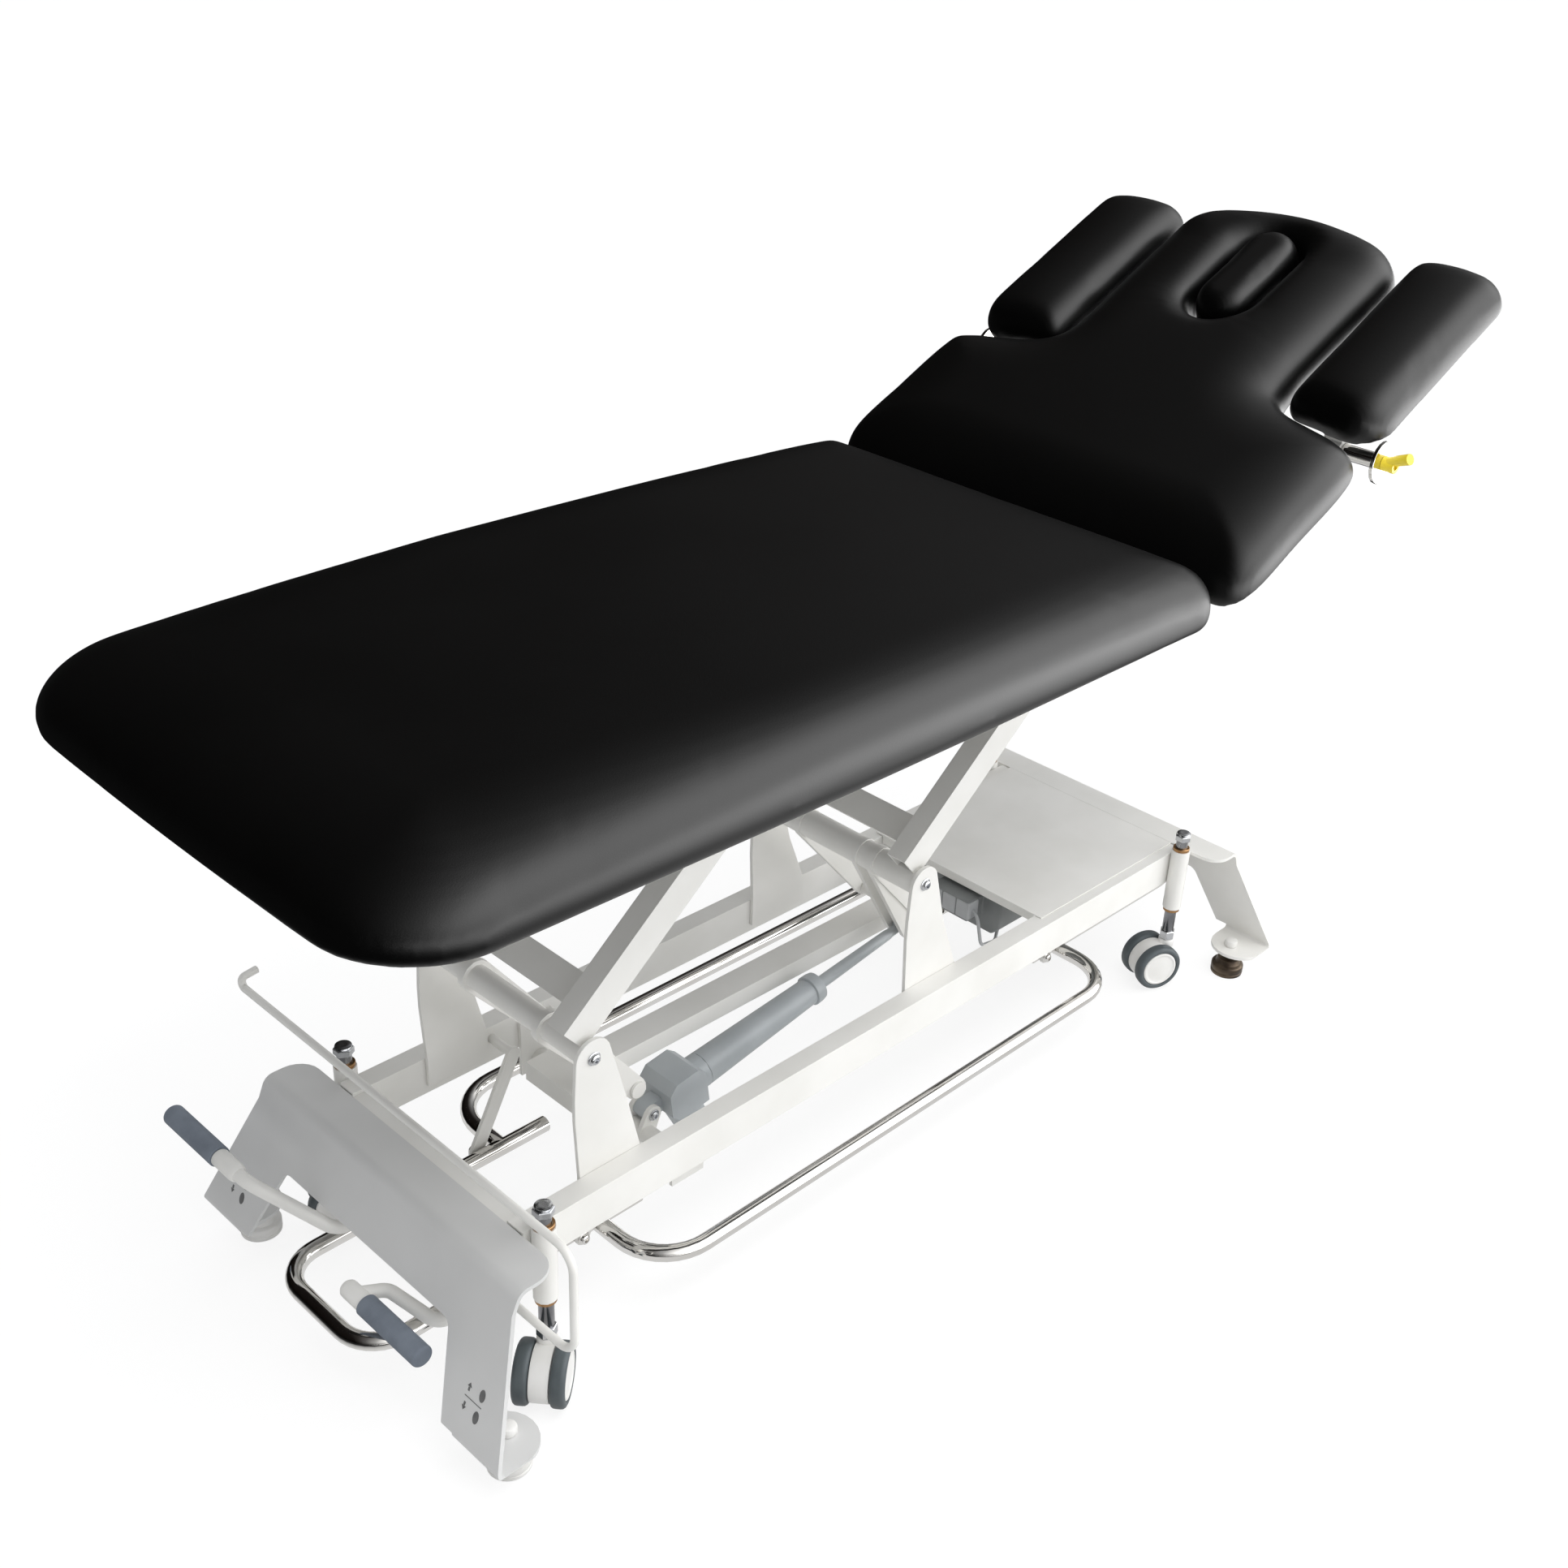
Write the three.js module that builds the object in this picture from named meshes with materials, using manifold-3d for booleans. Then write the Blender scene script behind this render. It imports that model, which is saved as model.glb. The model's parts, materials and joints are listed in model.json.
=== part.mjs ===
// Electric massage table: a height-adjustable treatment table on two folded steel stands.
// Millimetres, +Z up, +X toward the head end. The floor is Z = 0.
import * as THREE from "three";
import { mergeVertices } from "three/addons/utils/BufferGeometryUtils.js";
import Module from "manifold-3d";

const wasm = await Module();
wasm.setup();

// Driving dimensions of the table as it stands in the photograph
const tableWidth = 700;
const bodyFootX = -870;
const bodyHeadX = 348;
const tableTopZ = 806;
const cushionThickness = 82;
const headTiltDegrees = 25.7;
const liftAngleDegrees = 44.95;

// Fits that are shared by all pieces
const gap = 0.3;
const boreClearance = 0.4;
const slideClearance = 1.5;
const cutOverrun = 4;
const weldOverlap = 0.6;

// Base rails
const railCentreY = 160.85;
const railWidth = 28;
const railHeight = 52;
const railTopZ = 225.4;
const railEndX = 618;
const railWall = 2.5;
const railInnerY = railCentreY - railWidth / 2;
const railOuterY = railCentreY + railWidth / 2;
const railBottomZ = railTopZ - railHeight;

// Stand plates folded from one steel sheet
const sheetThickness = 5;
const standTopZ = 226;
const standInnerX = 621;
const standFoldX = 674.6;
const standSlope = 0.413;
const standFoldRadius = 16;
const footFlangeTopZ = 48;

// Castors and levelling feet
const castorX = 600.6;
const castorY = 188.6;
const sleeveDiameter = 28;
const postDiameter = 18;
const wheelDiameter = 74;
const wheelLift = 3.5;
const levelFootX = 699.8;
const levelFootY = 248.3;

// Parallel lift arms
const footPivotX = -496;
const headPivotX = 46;
const armLength = 361;
const topPivotDrop = 88.96;
const shaftDiameter = 12;
const pivotPlateThickness = 5.4;
const tieRadius = 196;
const tieAngleDegrees = -50.4;
const tiePinDiameter = 12;

// Actuator between the base and the head arm
const actuatorY = -52;
const rearPinX = -341;
const rearPinZ = 171;
const rodPinRadius = 158;
const rodPinAngleDegrees = -62;

// Top frame and head section
const frameTubeHeight = 36;
const hingeReach = 6;
const hingeDrop = 0.5;
const hingePinDiameter = 10;

const radians = THREE.MathUtils.degToRad;
const degrees = THREE.MathUtils.radToDeg;
const bodyBaseZ = tableTopZ - cushionThickness;
const hingeX = bodyHeadX + hingeReach;
const hingeZ = bodyBaseZ - hingeDrop;
const topPivotZ = bodyBaseZ - topPivotDrop;
const topPivotX = armLength * Math.cos(radians(liftAngleDegrees));
const pivotZ = topPivotZ - armLength * Math.sin(radians(liftAngleDegrees));

// Finishes
const finish = (color, roughness, metalness) => ({ color, roughness, metalness });
const whitePaint = finish(0xedece6, 0.42, 0.1);
const silverPaint = finish(0xc9cac9, 0.4, 0.25);
const chrome = finish(0xd6d4d0, 0.12, 1);
const leatherette = finish(0x0c0c0d, 0.45, 0);
const actuatorGrey = finish(0xa9adb0, 0.5, 0);
const boxGrey = finish(0x6f7376, 0.55, 0);
const gripGrey = finish(0x707886, 0.7, 0);
const tyreGrey = finish(0x4b5558, 0.65, 0);
const darkSteel = finish(0x3a332d, 0.5, 0.6);
const leverYellow = finish(0xf2d22a, 0.45, 0);

const table = new THREE.Group();

// Solids from geometry and back
function solid(geometry) {
  const bare = geometry.clone();
  bare.deleteAttribute("normal");
  bare.deleteAttribute("uv");
  const merged = mergeVertices(bare, 1e-4);
  return new wasm.Manifold(new wasm.Mesh({
    numProp: 3,
    vertProperties: new Float32Array(merged.attributes.position.array),
    triVerts: new Uint32Array(merged.index.array),
  }));
}

function geometryOf(body) {
  const mesh = body.getMesh();
  const geometry = new THREE.BufferGeometry();
  const positions = new Float32Array(mesh.vertProperties);
  geometry.setAttribute("position", new THREE.BufferAttribute(positions, 3));
  geometry.setIndex(new THREE.BufferAttribute(new Uint32Array(mesh.triVerts), 1));
  return geometry;
}

const join = (...bodies) => bodies.reduce((whole, next) => whole.add(next));
const cut = (body, ...tools) => tools.reduce((rest, tool) => rest.subtract(tool), body);

function add(name, body, look, parent = table) {
  const mesh = new THREE.Mesh(geometryOf(body), new THREE.MeshStandardMaterial(look));
  mesh.name = name;
  parent.add(mesh);
  return mesh;
}

// Basic shapes
function block(x0, x1, y0, y1, z0, z1) {
  const geometry = new THREE.BoxGeometry(x1 - x0, y1 - y0, z1 - z0);
  geometry.translate((x0 + x1) / 2, (y0 + y1) / 2, (z0 + z1) / 2);
  return solid(geometry);
}

function barAlongY(x, z, y0, y1, diameter, sides = 12) {
  const geometry = new THREE.CylinderGeometry(diameter / 2, diameter / 2, y1 - y0, sides);
  geometry.translate(x, (y0 + y1) / 2, z);
  return solid(geometry);
}

function barAlongZ(x, y, z0, z1, diameter, sides = 12) {
  const geometry = new THREE.CylinderGeometry(diameter / 2, diameter / 2, z1 - z0, sides);
  geometry.rotateX(Math.PI / 2);
  geometry.translate(x, y, (z0 + z1) / 2);
  return solid(geometry);
}

function barBetween(from, to, startDiameter, endDiameter = startDiameter, sides = 12) {
  const way = new THREE.Vector3().subVectors(to, from);
  const geometry = new THREE.CylinderGeometry(endDiameter / 2, startDiameter / 2, way.length(), sides);
  const up = new THREE.Vector3(0, 1, 0);
  geometry.applyQuaternion(new THREE.Quaternion().setFromUnitVectors(up, way.clone().normalize()));
  geometry.translate((from.x + to.x) / 2, (from.y + to.y) / 2, (from.z + to.z) / 2);
  return solid(geometry);
}

// A plate whose outline is drawn in X and Z, from y0 to y1
function sidePlate(outline, y0, y1) {
  const shape = new THREE.Shape(outline.map(([x, z]) => new THREE.Vector2(x, z)));
  const geometry = new THREE.ExtrudeGeometry(shape, { depth: y1 - y0, bevelEnabled: false });
  geometry.rotateX(Math.PI / 2);
  geometry.translate(0, y1, 0);
  return solid(geometry);
}

// A plate whose outline is drawn in X and Y, from z0 to z1
function flatPlate(outline, z0, z1) {
  const shape = new THREE.Shape(outline.map(([x, y]) => new THREE.Vector2(x, y)));
  const geometry = new THREE.ExtrudeGeometry(shape, { depth: z1 - z0, bevelEnabled: false });
  geometry.translate(0, 0, z0);
  return solid(geometry);
}

// A plate whose outline is drawn in Y and Z, from x0 to x1
function frontPlate(outline, x0, x1) {
  const shape = new THREE.Shape(outline.map(([y, z]) => new THREE.Vector2(y, z)));
  const geometry = new THREE.ExtrudeGeometry(shape, { depth: x1 - x0, bevelEnabled: false });
  geometry.rotateX(Math.PI / 2);
  geometry.rotateZ(Math.PI / 2);
  geometry.translate(x0, 0, 0);
  return solid(geometry);
}

// The points of an arc about (x, z), both ends included
function arc(x, z, radius, fromDegrees, toDegrees, steps) {
  const points = [];
  for (let i = 0; i <= steps; i += 1) {
    const angle = radians(fromDegrees + ((toDegrees - fromDegrees) * i) / steps);
    points.push([x + radius * Math.cos(angle), z + radius * Math.sin(angle)]);
  }
  return points;
}

// The outline round two circles, as on a lever or a lug
function linkOutline(x0, z0, r0, x1, z1, r1, steps = 6) {
  const way = Math.atan2(z1 - z0, x1 - x0);
  const lean = Math.acos((r0 - r1) / Math.hypot(x1 - x0, z1 - z0));
  return [
    ...arc(x0, z0, r0, degrees(way + lean), degrees(way - lean) + 360, steps),
    ...arc(x1, z1, r1, degrees(way - lean), degrees(way + lean), steps),
  ];
}

// A bent round bar through the given points, with rounded corners
function bentBar(points, bendRadius, diameter, sides = 8, bendSteps = 4) {
  const path = [points[0].clone()];
  for (let i = 1; i < points.length - 1; i += 1) {
    const back = new THREE.Vector3().subVectors(points[i - 1], points[i]).normalize();
    const ahead = new THREE.Vector3().subVectors(points[i + 1], points[i]).normalize();
    const setback = bendRadius / Math.tan(back.angleTo(ahead) / 2);
    const start = points[i].clone().addScaledVector(back, setback);
    const end = points[i].clone().addScaledVector(ahead, setback);
    const middle = new THREE.Vector3().addVectors(back, ahead).normalize();
    const centre = points[i].clone().addScaledVector(middle, bendRadius / Math.sin(back.angleTo(ahead) / 2));
    const spoke = new THREE.Vector3().subVectors(start, centre);
    const lastSpoke = new THREE.Vector3().subVectors(end, centre);
    const axis = new THREE.Vector3().crossVectors(spoke, lastSpoke).normalize();
    const turn = spoke.angleTo(lastSpoke);
    for (let k = 0; k <= bendSteps; k += 1) {
      path.push(centre.clone().add(spoke.clone().applyAxisAngle(axis, (turn * k) / bendSteps)));
    }
  }
  path.push(points[points.length - 1].clone());
  return sweep(path, diameter, sides);
}

// A round bar through a list of points, its rings square to the path
function sweep(path, diameter, sides) {
  const positions = [];
  const index = [];
  const tangents = path.map((point, i) => {
    const before = path[Math.max(i - 1, 0)];
    const after = path[Math.min(i + 1, path.length - 1)];
    return new THREE.Vector3().subVectors(after, before).normalize();
  });
  const upright = new THREE.Vector3(0, 0, 1);
  const lengthways = new THREE.Vector3(1, 0, 0);
  const seed = Math.abs(tangents[0].z) < Math.SQRT1_2 ? upright : lengthways;
  let side = new THREE.Vector3().crossVectors(tangents[0], seed).normalize();
  path.forEach((point, i) => {
    side = side.clone().addScaledVector(tangents[i], -side.dot(tangents[i])).normalize();
    const up = new THREE.Vector3().crossVectors(tangents[i], side);
    for (let k = 0; k < sides; k += 1) {
      const angle = (2 * Math.PI * k) / sides;
      const ringPoint = point.clone();
      ringPoint.addScaledVector(side, (Math.cos(angle) * diameter) / 2);
      ringPoint.addScaledVector(up, (Math.sin(angle) * diameter) / 2);
      positions.push(ringPoint.x, ringPoint.y, ringPoint.z);
    }
  });
  for (let i = 0; i < path.length - 1; i += 1) {
    for (let k = 0; k < sides; k += 1) {
      const a = i * sides + k;
      const b = i * sides + ((k + 1) % sides);
      index.push(a, b, a + sides, b, b + sides, a + sides);
    }
  }
  const last = (path.length - 1) * sides;
  for (let k = 1; k < sides - 1; k += 1) {
    index.push(0, k + 1, k);
    index.push(last, last + k, last + k + 1);
  }
  const geometry = new THREE.BufferGeometry();
  geometry.setAttribute("position", new THREE.Float32BufferAttribute(positions, 3));
  geometry.setIndex(index);
  return solid(geometry);
}

// Base rails with the castor sleeves welded to their outer faces
function baseRail(side) {
  const sleeveBottomZ = 134;
  const sleeveTopZ = 235;
  const bushHeight = 5;
  const bushDiameter = 24;
  const tube = side < 0
    ? block(-railEndX, railEndX, -railOuterY, -railInnerY, railBottomZ, railTopZ)
    : block(-railEndX, railEndX, railInnerY, railOuterY, railBottomZ, railTopZ);
  const inner = railWidth / 2 - railWall;
  const hollow = block(
    -railEndX - cutOverrun, railEndX + cutOverrun,
    side * railCentreY - inner, side * railCentreY + inner,
    railBottomZ + railWall, railTopZ - railWall,
  );
  let rail = cut(tube, hollow);
  for (const end of [-1, 1]) {
    const x = end * castorX;
    const y = side * castorY;
    const bushBottomZ = sleeveBottomZ - bushHeight;
    const bushTopZ = sleeveTopZ + bushHeight;
    rail = join(rail, barAlongZ(x, y, sleeveBottomZ, sleeveTopZ, sleeveDiameter));
    rail = join(rail, barAlongZ(x, y, bushBottomZ, bushTopZ, bushDiameter));
    const bore = barAlongZ(x, y, bushBottomZ - cutOverrun, bushTopZ + cutOverrun, postDiameter + 2 * gap);
    rail = cut(rail, bore);
  }
  for (const x of [footStrutTopX, headStrutTopX]) {
    const near = Math.min(side * (railInnerY + weldOverlap), side * strutStudEndY);
    const far = Math.max(side * (railInnerY + weldOverlap), side * strutStudEndY);
    rail = join(rail, barAlongY(x, strutTopZ, near, far, strutStudDiameter));
  }
  return rail;
}

// Foot control bar sizes, also used by the rails that carry its struts
const controlBarZ = 87;
const controlBarDiameter = 21;
const controlLegY = 90;
const strutThickness = 5;
const strutWidth = 20;
const strutInnerY = controlLegY + controlBarDiameter / 2 + gap;
const strutOuterY = strutInnerY + strutThickness;
const strutStudEndY = strutInnerY + weldOverlap;
const strutTopZ = 208;
const strutStudDiameter = 12;
const strutBottomX = -482;
const strutBottomZ = controlBarZ;
const strutLeanX = 61;
const footStrutTopX = strutBottomX + strutLeanX;
const headStrutShiftX = 884;
const headStrutTopX = footStrutTopX + headStrutShiftX;

add("rail_near", baseRail(-1), whitePaint);
add("rail_far", baseRail(1), whitePaint);

// Stand plates: top flange, sloping front with two legs, and a turned-in foot under each leg
function standPlate() {
  const flangeHalfWidth = 243;
  const cornerRadius = 30;
  const legLowerOuterY = 293.7;
  const legLowerInnerY = 194.6;
  const legUpperInnerY = 163;
  const archZ = 150;
  const archRadius = 14;
  const waistZ = 200;
  const footRadius = 41;
  const footCentreX = 712;
  const footCentreY = 253;
  const outerX = (z) => standFoldX + standSlope * (standTopZ - z);
  const bottomFoldRadius = 9;
  const slopeDegrees = THREE.MathUtils.radToDeg(Math.atan(standSlope));
  const legBottomZ = footFlangeTopZ - sheetThickness;
  // Side profile of the sheet: outer skin down, inner skin back up
  const foldOuter = standFoldX - standFoldRadius * Math.tan(radians((90 - slopeDegrees) / 2));
  const foldCentreZ = standTopZ - standFoldRadius;
  const bottomX = outerX(legBottomZ);
  const bottomBend = bottomFoldRadius * Math.tan(radians((90 + slopeDegrees) / 2));
  const footCornerX = bottomX - bottomBend;
  const profile = [
    [standInnerX, standTopZ],
    ...arc(foldOuter, foldCentreZ, standFoldRadius, 90, slopeDegrees, 6),
    ...arc(footCornerX, legBottomZ + bottomFoldRadius, bottomFoldRadius, slopeDegrees, -90, 6),
    [footCentreX - footRadius, legBottomZ],
    [footCentreX - footRadius, footFlangeTopZ],
    ...arc(
      footCornerX, legBottomZ + bottomFoldRadius, bottomFoldRadius - sheetThickness, -90, slopeDegrees, 4,
    ),
    ...arc(foldOuter, foldCentreZ, standFoldRadius - sheetThickness, slopeDegrees, 90, 5),
    [standInnerX, standTopZ - sheetThickness],
  ];
  const sheet = sidePlate(profile, -legLowerOuterY, legLowerOuterY);
  // Front outline with the two legs
  const half = [
    [0, archZ],
    [legUpperInnerY - archRadius, archZ],
    ...arc(legUpperInnerY - archRadius, archZ - archRadius, archRadius, 90, 18, 5),
    [legLowerInnerY, footFlangeTopZ],
    [legLowerInnerY + sheetThickness, legBottomZ - cutOverrun],
    [legLowerOuterY - sheetThickness, legBottomZ - cutOverrun],
    [legLowerOuterY, footFlangeTopZ],
    [flangeHalfWidth, waistZ],
    [flangeHalfWidth, standTopZ + cutOverrun],
  ];
  const front = [
    ...half,
    ...half.slice(1).reverse().map(([y, z]) => [-y, z]),
  ];
  const xFar = outerX(footFlangeTopZ) + sheetThickness + cutOverrun;
  let plate = sheet.intersect(frontPlate(front, standInnerX - cutOverrun, xFar));
  // Plan outline of the upper part: rounded corners at the inner edge
  const upper = flatPlate([
    ...arc(standInnerX + cornerRadius, flangeHalfWidth - cornerRadius, cornerRadius, 180, 90, 6),
    [xFar, flangeHalfWidth],
    [xFar, -flangeHalfWidth],
    ...arc(standInnerX + cornerRadius, cornerRadius - flangeHalfWidth, cornerRadius, 270, 180, 6),
  ], waistZ, standTopZ + cutOverrun);
  const footFlangePlan = [-1, 1].map((side) => flatPlate(
    [
      ...arc(footCentreX, side * footCentreY, footRadius, 90, 270, 12),
      [xFar, side * footCentreY - footRadius],
      [xFar, side * footCentreY + footRadius],
    ],
    legBottomZ - cutOverrun,
    waistZ,
  ));
  const legZone = footCornerX - bottomFoldRadius;
  const legs = block(legZone, xFar, -legLowerOuterY, legLowerOuterY, footFlangeTopZ + sheetThickness, waistZ);
  const upperLegs = block(
    standInnerX, xFar, -legLowerOuterY, legLowerOuterY, footFlangeTopZ + 2 * sheetThickness, waistZ,
  );
  plate = plate.intersect(join(upper, legs, upperLegs, ...footFlangePlan));
  const screwHoles = [-1, 1].map((side) => barAlongZ(
    levelFootX, side * levelFootY, legBottomZ - cutOverrun, footFlangeTopZ + cutOverrun,
    levelScrewDiameter + 2 * boreClearance, 10,
  ));
  return cut(plate, ...screwHoles);
}

// Levelling foot: rubber disc, screw and the cap nut above the flange
const levelScrewDiameter = 12;
const levelDiscDiameter = 50;
const levelDiscHeight = 16;
const levelCapDiameter = 20;
const levelCapTopZ = 59.6;

function levellingFoot(x, y) {
  const chamfer = 4;
  const screw = barAlongZ(x, y, levelDiscHeight - chamfer, levelCapTopZ - chamfer, levelScrewDiameter, 8);
  const cap = barAlongZ(x, y, footFlangeTopZ + gap, levelCapTopZ, levelCapDiameter, 10);
  const discTop = footFlangeTopZ - sheetThickness - gap;
  const nutHeight = 8;
  const lockNut = barAlongZ(x, y, discTop - nutHeight, discTop, levelCapDiameter, 6);
  const skirt = new THREE.LatheGeometry([
    new THREE.Vector2(0, 0),
    new THREE.Vector2(levelDiscDiameter / 2 - chamfer / 2, 0),
    new THREE.Vector2(levelDiscDiameter / 2, chamfer / 2),
    new THREE.Vector2(levelDiscDiameter / 2, levelDiscHeight - chamfer),
    new THREE.Vector2(levelDiscDiameter / 2 - chamfer, levelDiscHeight),
    new THREE.Vector2(0, levelDiscHeight),
  ], 12);
  skirt.rotateX(Math.PI / 2);
  skirt.translate(x, y, 0);
  return join(solid(skirt), screw, cap, lockNut);
}

const standGeometry = standPlate();
add("head_stand_plate", standGeometry, silverPaint);
add("foot_stand_plate", standGeometry.mirror([1, 0, 0]), silverPaint);

for (const [endName, end] of [["foot", -1], ["head", 1]]) {
  for (const [sideName, side] of [["near", -1], ["far", 1]]) {
    const foot = levellingFoot(end * levelFootX, side * levelFootY);
    add(`levelling_foot_${endName}_${sideName}`, foot, darkSteel);
  }
}

// Cross beams under the stand flanges, the foot one with the pedal shaft
const beamInnerX = 600;
const beamOuterX = 650;
const beamHalfLength = railInnerY - gap;
const beamTopZ = standTopZ - sheetThickness - gap;
const pedalAxisX = -655;
const pedalAxisZ = 118;
const pedalShaftDiameter = 14;
const pedalHubDiameter = 26;
const farHubY = 64;
const nearHubY = -128;
const pedalHubHalfWidth = 10;

function crossBeam(end) {
  const x0 = Math.min(end * beamInnerX, end * beamOuterX);
  const x1 = Math.max(end * beamInnerX, end * beamOuterX);
  return block(x0, x1, -beamHalfLength, beamHalfLength, railBottomZ, beamTopZ);
}

function pedalCarrier() {
  const lugThickness = 6;
  let beam = crossBeam(-1);
  const lug = [
    [-beamOuterX, railBottomZ + weldOverlap],
    ...arc(pedalAxisX, pedalAxisZ, pedalHubDiameter / 2, 180, 360, 10),
    [-beamInnerX, railBottomZ + weldOverlap],
  ];
  const hubs = [nearHubY, farHubY];
  for (const y of hubs) {
    const inner = y + pedalHubHalfWidth + gap;
    const outer = y - pedalHubHalfWidth - gap;
    beam = join(beam, sidePlate(lug, inner, inner + lugThickness));
    beam = join(beam, sidePlate(lug, outer - lugThickness, outer));
    const shaftY0 = outer - lugThickness;
    const shaftY1 = inner + lugThickness;
    beam = join(beam, barAlongY(pedalAxisX, pedalAxisZ, shaftY0, shaftY1, pedalShaftDiameter, 20));
  }
  return beam;
}

add("foot_cross_beam", pedalCarrier(), whitePaint);
add("head_cross_beam", crossBeam(1), whitePaint);

// Pivot plates welded inside the rails, one pair to each arm
const pivotPlateOuterY = railInnerY - gap;
const pivotPlateInnerY = pivotPlateOuterY - pivotPlateThickness;
const pivotTopRadius = 24.5;

function pivotPlate(pivotX, flare, side) {
  const backAtRail = 22;
  const backAtMiddle = 27;
  const frontAtMiddle = 46;
  const middleDropShare = 0.49;
  const lowerDropShare = 0.3;
  const weldStripDepth = 40;
  const bottomZ = railTopZ - weldStripDepth;
  const height = pivotZ - railTopZ;
  const middleZ = pivotZ - height * middleDropShare;
  const outline = [
    ...arc(pivotX, pivotZ, pivotTopRadius, 25, 180, 10),
    [pivotX - backAtMiddle, pivotZ - height * lowerDropShare],
    [pivotX - backAtMiddle, middleZ],
    [pivotX - backAtRail, railTopZ],
    [pivotX - backAtRail, bottomZ],
    [pivotX + flare, bottomZ],
    [pivotX + flare, railTopZ],
    [pivotX + frontAtMiddle, middleZ],
  ];
  const y0 = Math.min(side * pivotPlateInnerY, side * pivotPlateOuterY);
  const y1 = Math.max(side * pivotPlateInnerY, side * pivotPlateOuterY);
  const hole = barAlongY(pivotX, pivotZ, y0 - cutOverrun, y1 + cutOverrun, shaftDiameter + 2 * boreClearance);
  return cut(sidePlate(outline, y0, y1), hole);
}

const footFlare = 66;
const headFlare = 78;
for (const [sideName, side] of [["near", -1], ["far", 1]]) {
  add(`pivot_plate_foot_${sideName}`, pivotPlate(footPivotX, footFlare, side), whitePaint);
  add(`pivot_plate_head_${sideName}`, pivotPlate(headPivotX, headFlare, side), whitePaint);
}

// Pivot shafts with their bolt heads outside the plates
const boltHeadDiameter = 18;
const boltHeadHeight = 6;

function pivotShaft(x) {
  const outside = pivotPlateOuterY + boltHeadHeight;
  const head = pivotPlateOuterY + gap;
  return join(
    barAlongY(x, pivotZ, -head - weldOverlap, head + weldOverlap, shaftDiameter),
    barAlongY(x, pivotZ, head, outside, boltHeadDiameter, 6),
    barAlongY(x, pivotZ, -outside, -head, boltHeadDiameter, 6),
  );
}

add("foot_pivot_shaft", pivotShaft(footPivotX), chrome);
add("head_pivot_shaft", pivotShaft(headPivotX), chrome);

// Lift arms: two tubes, a pivot tube at each end, and levers below the lower pivot
const armWall = 3;
const armTubeInnerY = 105;
const armTubeOuterY = 135;
const armTubeLowOffset = 8;
const armTubeHighOffset = 50;
const armTubeStart = 2;
const armTubeOverhang = 23;
const armTubeEnd = armLength + armTubeOverhang;
const armTubeMiddle = (armTubeLowOffset + armTubeHighOffset) / 2;
const armTubeLeanDegrees = degrees(Math.asin(armTubeMiddle / armLength));
const armTubeAngleDegrees = liftAngleDegrees - armTubeLeanDegrees;
const leverHubRadius = 20.5;
const pivotTubeHalfLength = pivotPlateInnerY - gap;
const leverInnerY = 62;
const leverOuterY = 72;
const leverEyeRadius = 14;
const tiePinDX = tieRadius * Math.cos(radians(tieAngleDegrees));
const tiePinDZ = tieRadius * Math.sin(radians(tieAngleDegrees));
const rodPinDX = rodPinRadius * Math.cos(radians(rodPinAngleDegrees));
const rodPinDZ = rodPinRadius * Math.sin(radians(rodPinAngleDegrees));
const rodEyeWidth = 16;
const actuatorLeverThickness = 8;

function armPoint(pivotX, along, offset) {
  const angle = radians(armTubeAngleDegrees);
  return [
    pivotX + along * Math.cos(angle) - offset * Math.sin(angle),
    pivotZ + along * Math.sin(angle) + offset * Math.cos(angle),
  ];
}

function tieLever(pivotX, y0, y1) {
  const outline = linkOutline(
    pivotX, pivotZ, leverHubRadius,
    pivotX + tiePinDX, pivotZ + tiePinDZ, leverEyeRadius,
  );
  const plate = sidePlate(outline, y0, y1);
  const hole = tiePinDiameter + 2 * boreClearance;
  return cut(plate, barAlongY(
    pivotX + tiePinDX, pivotZ + tiePinDZ, y0 - cutOverrun, y1 + cutOverrun, hole,
  ));
}

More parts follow.
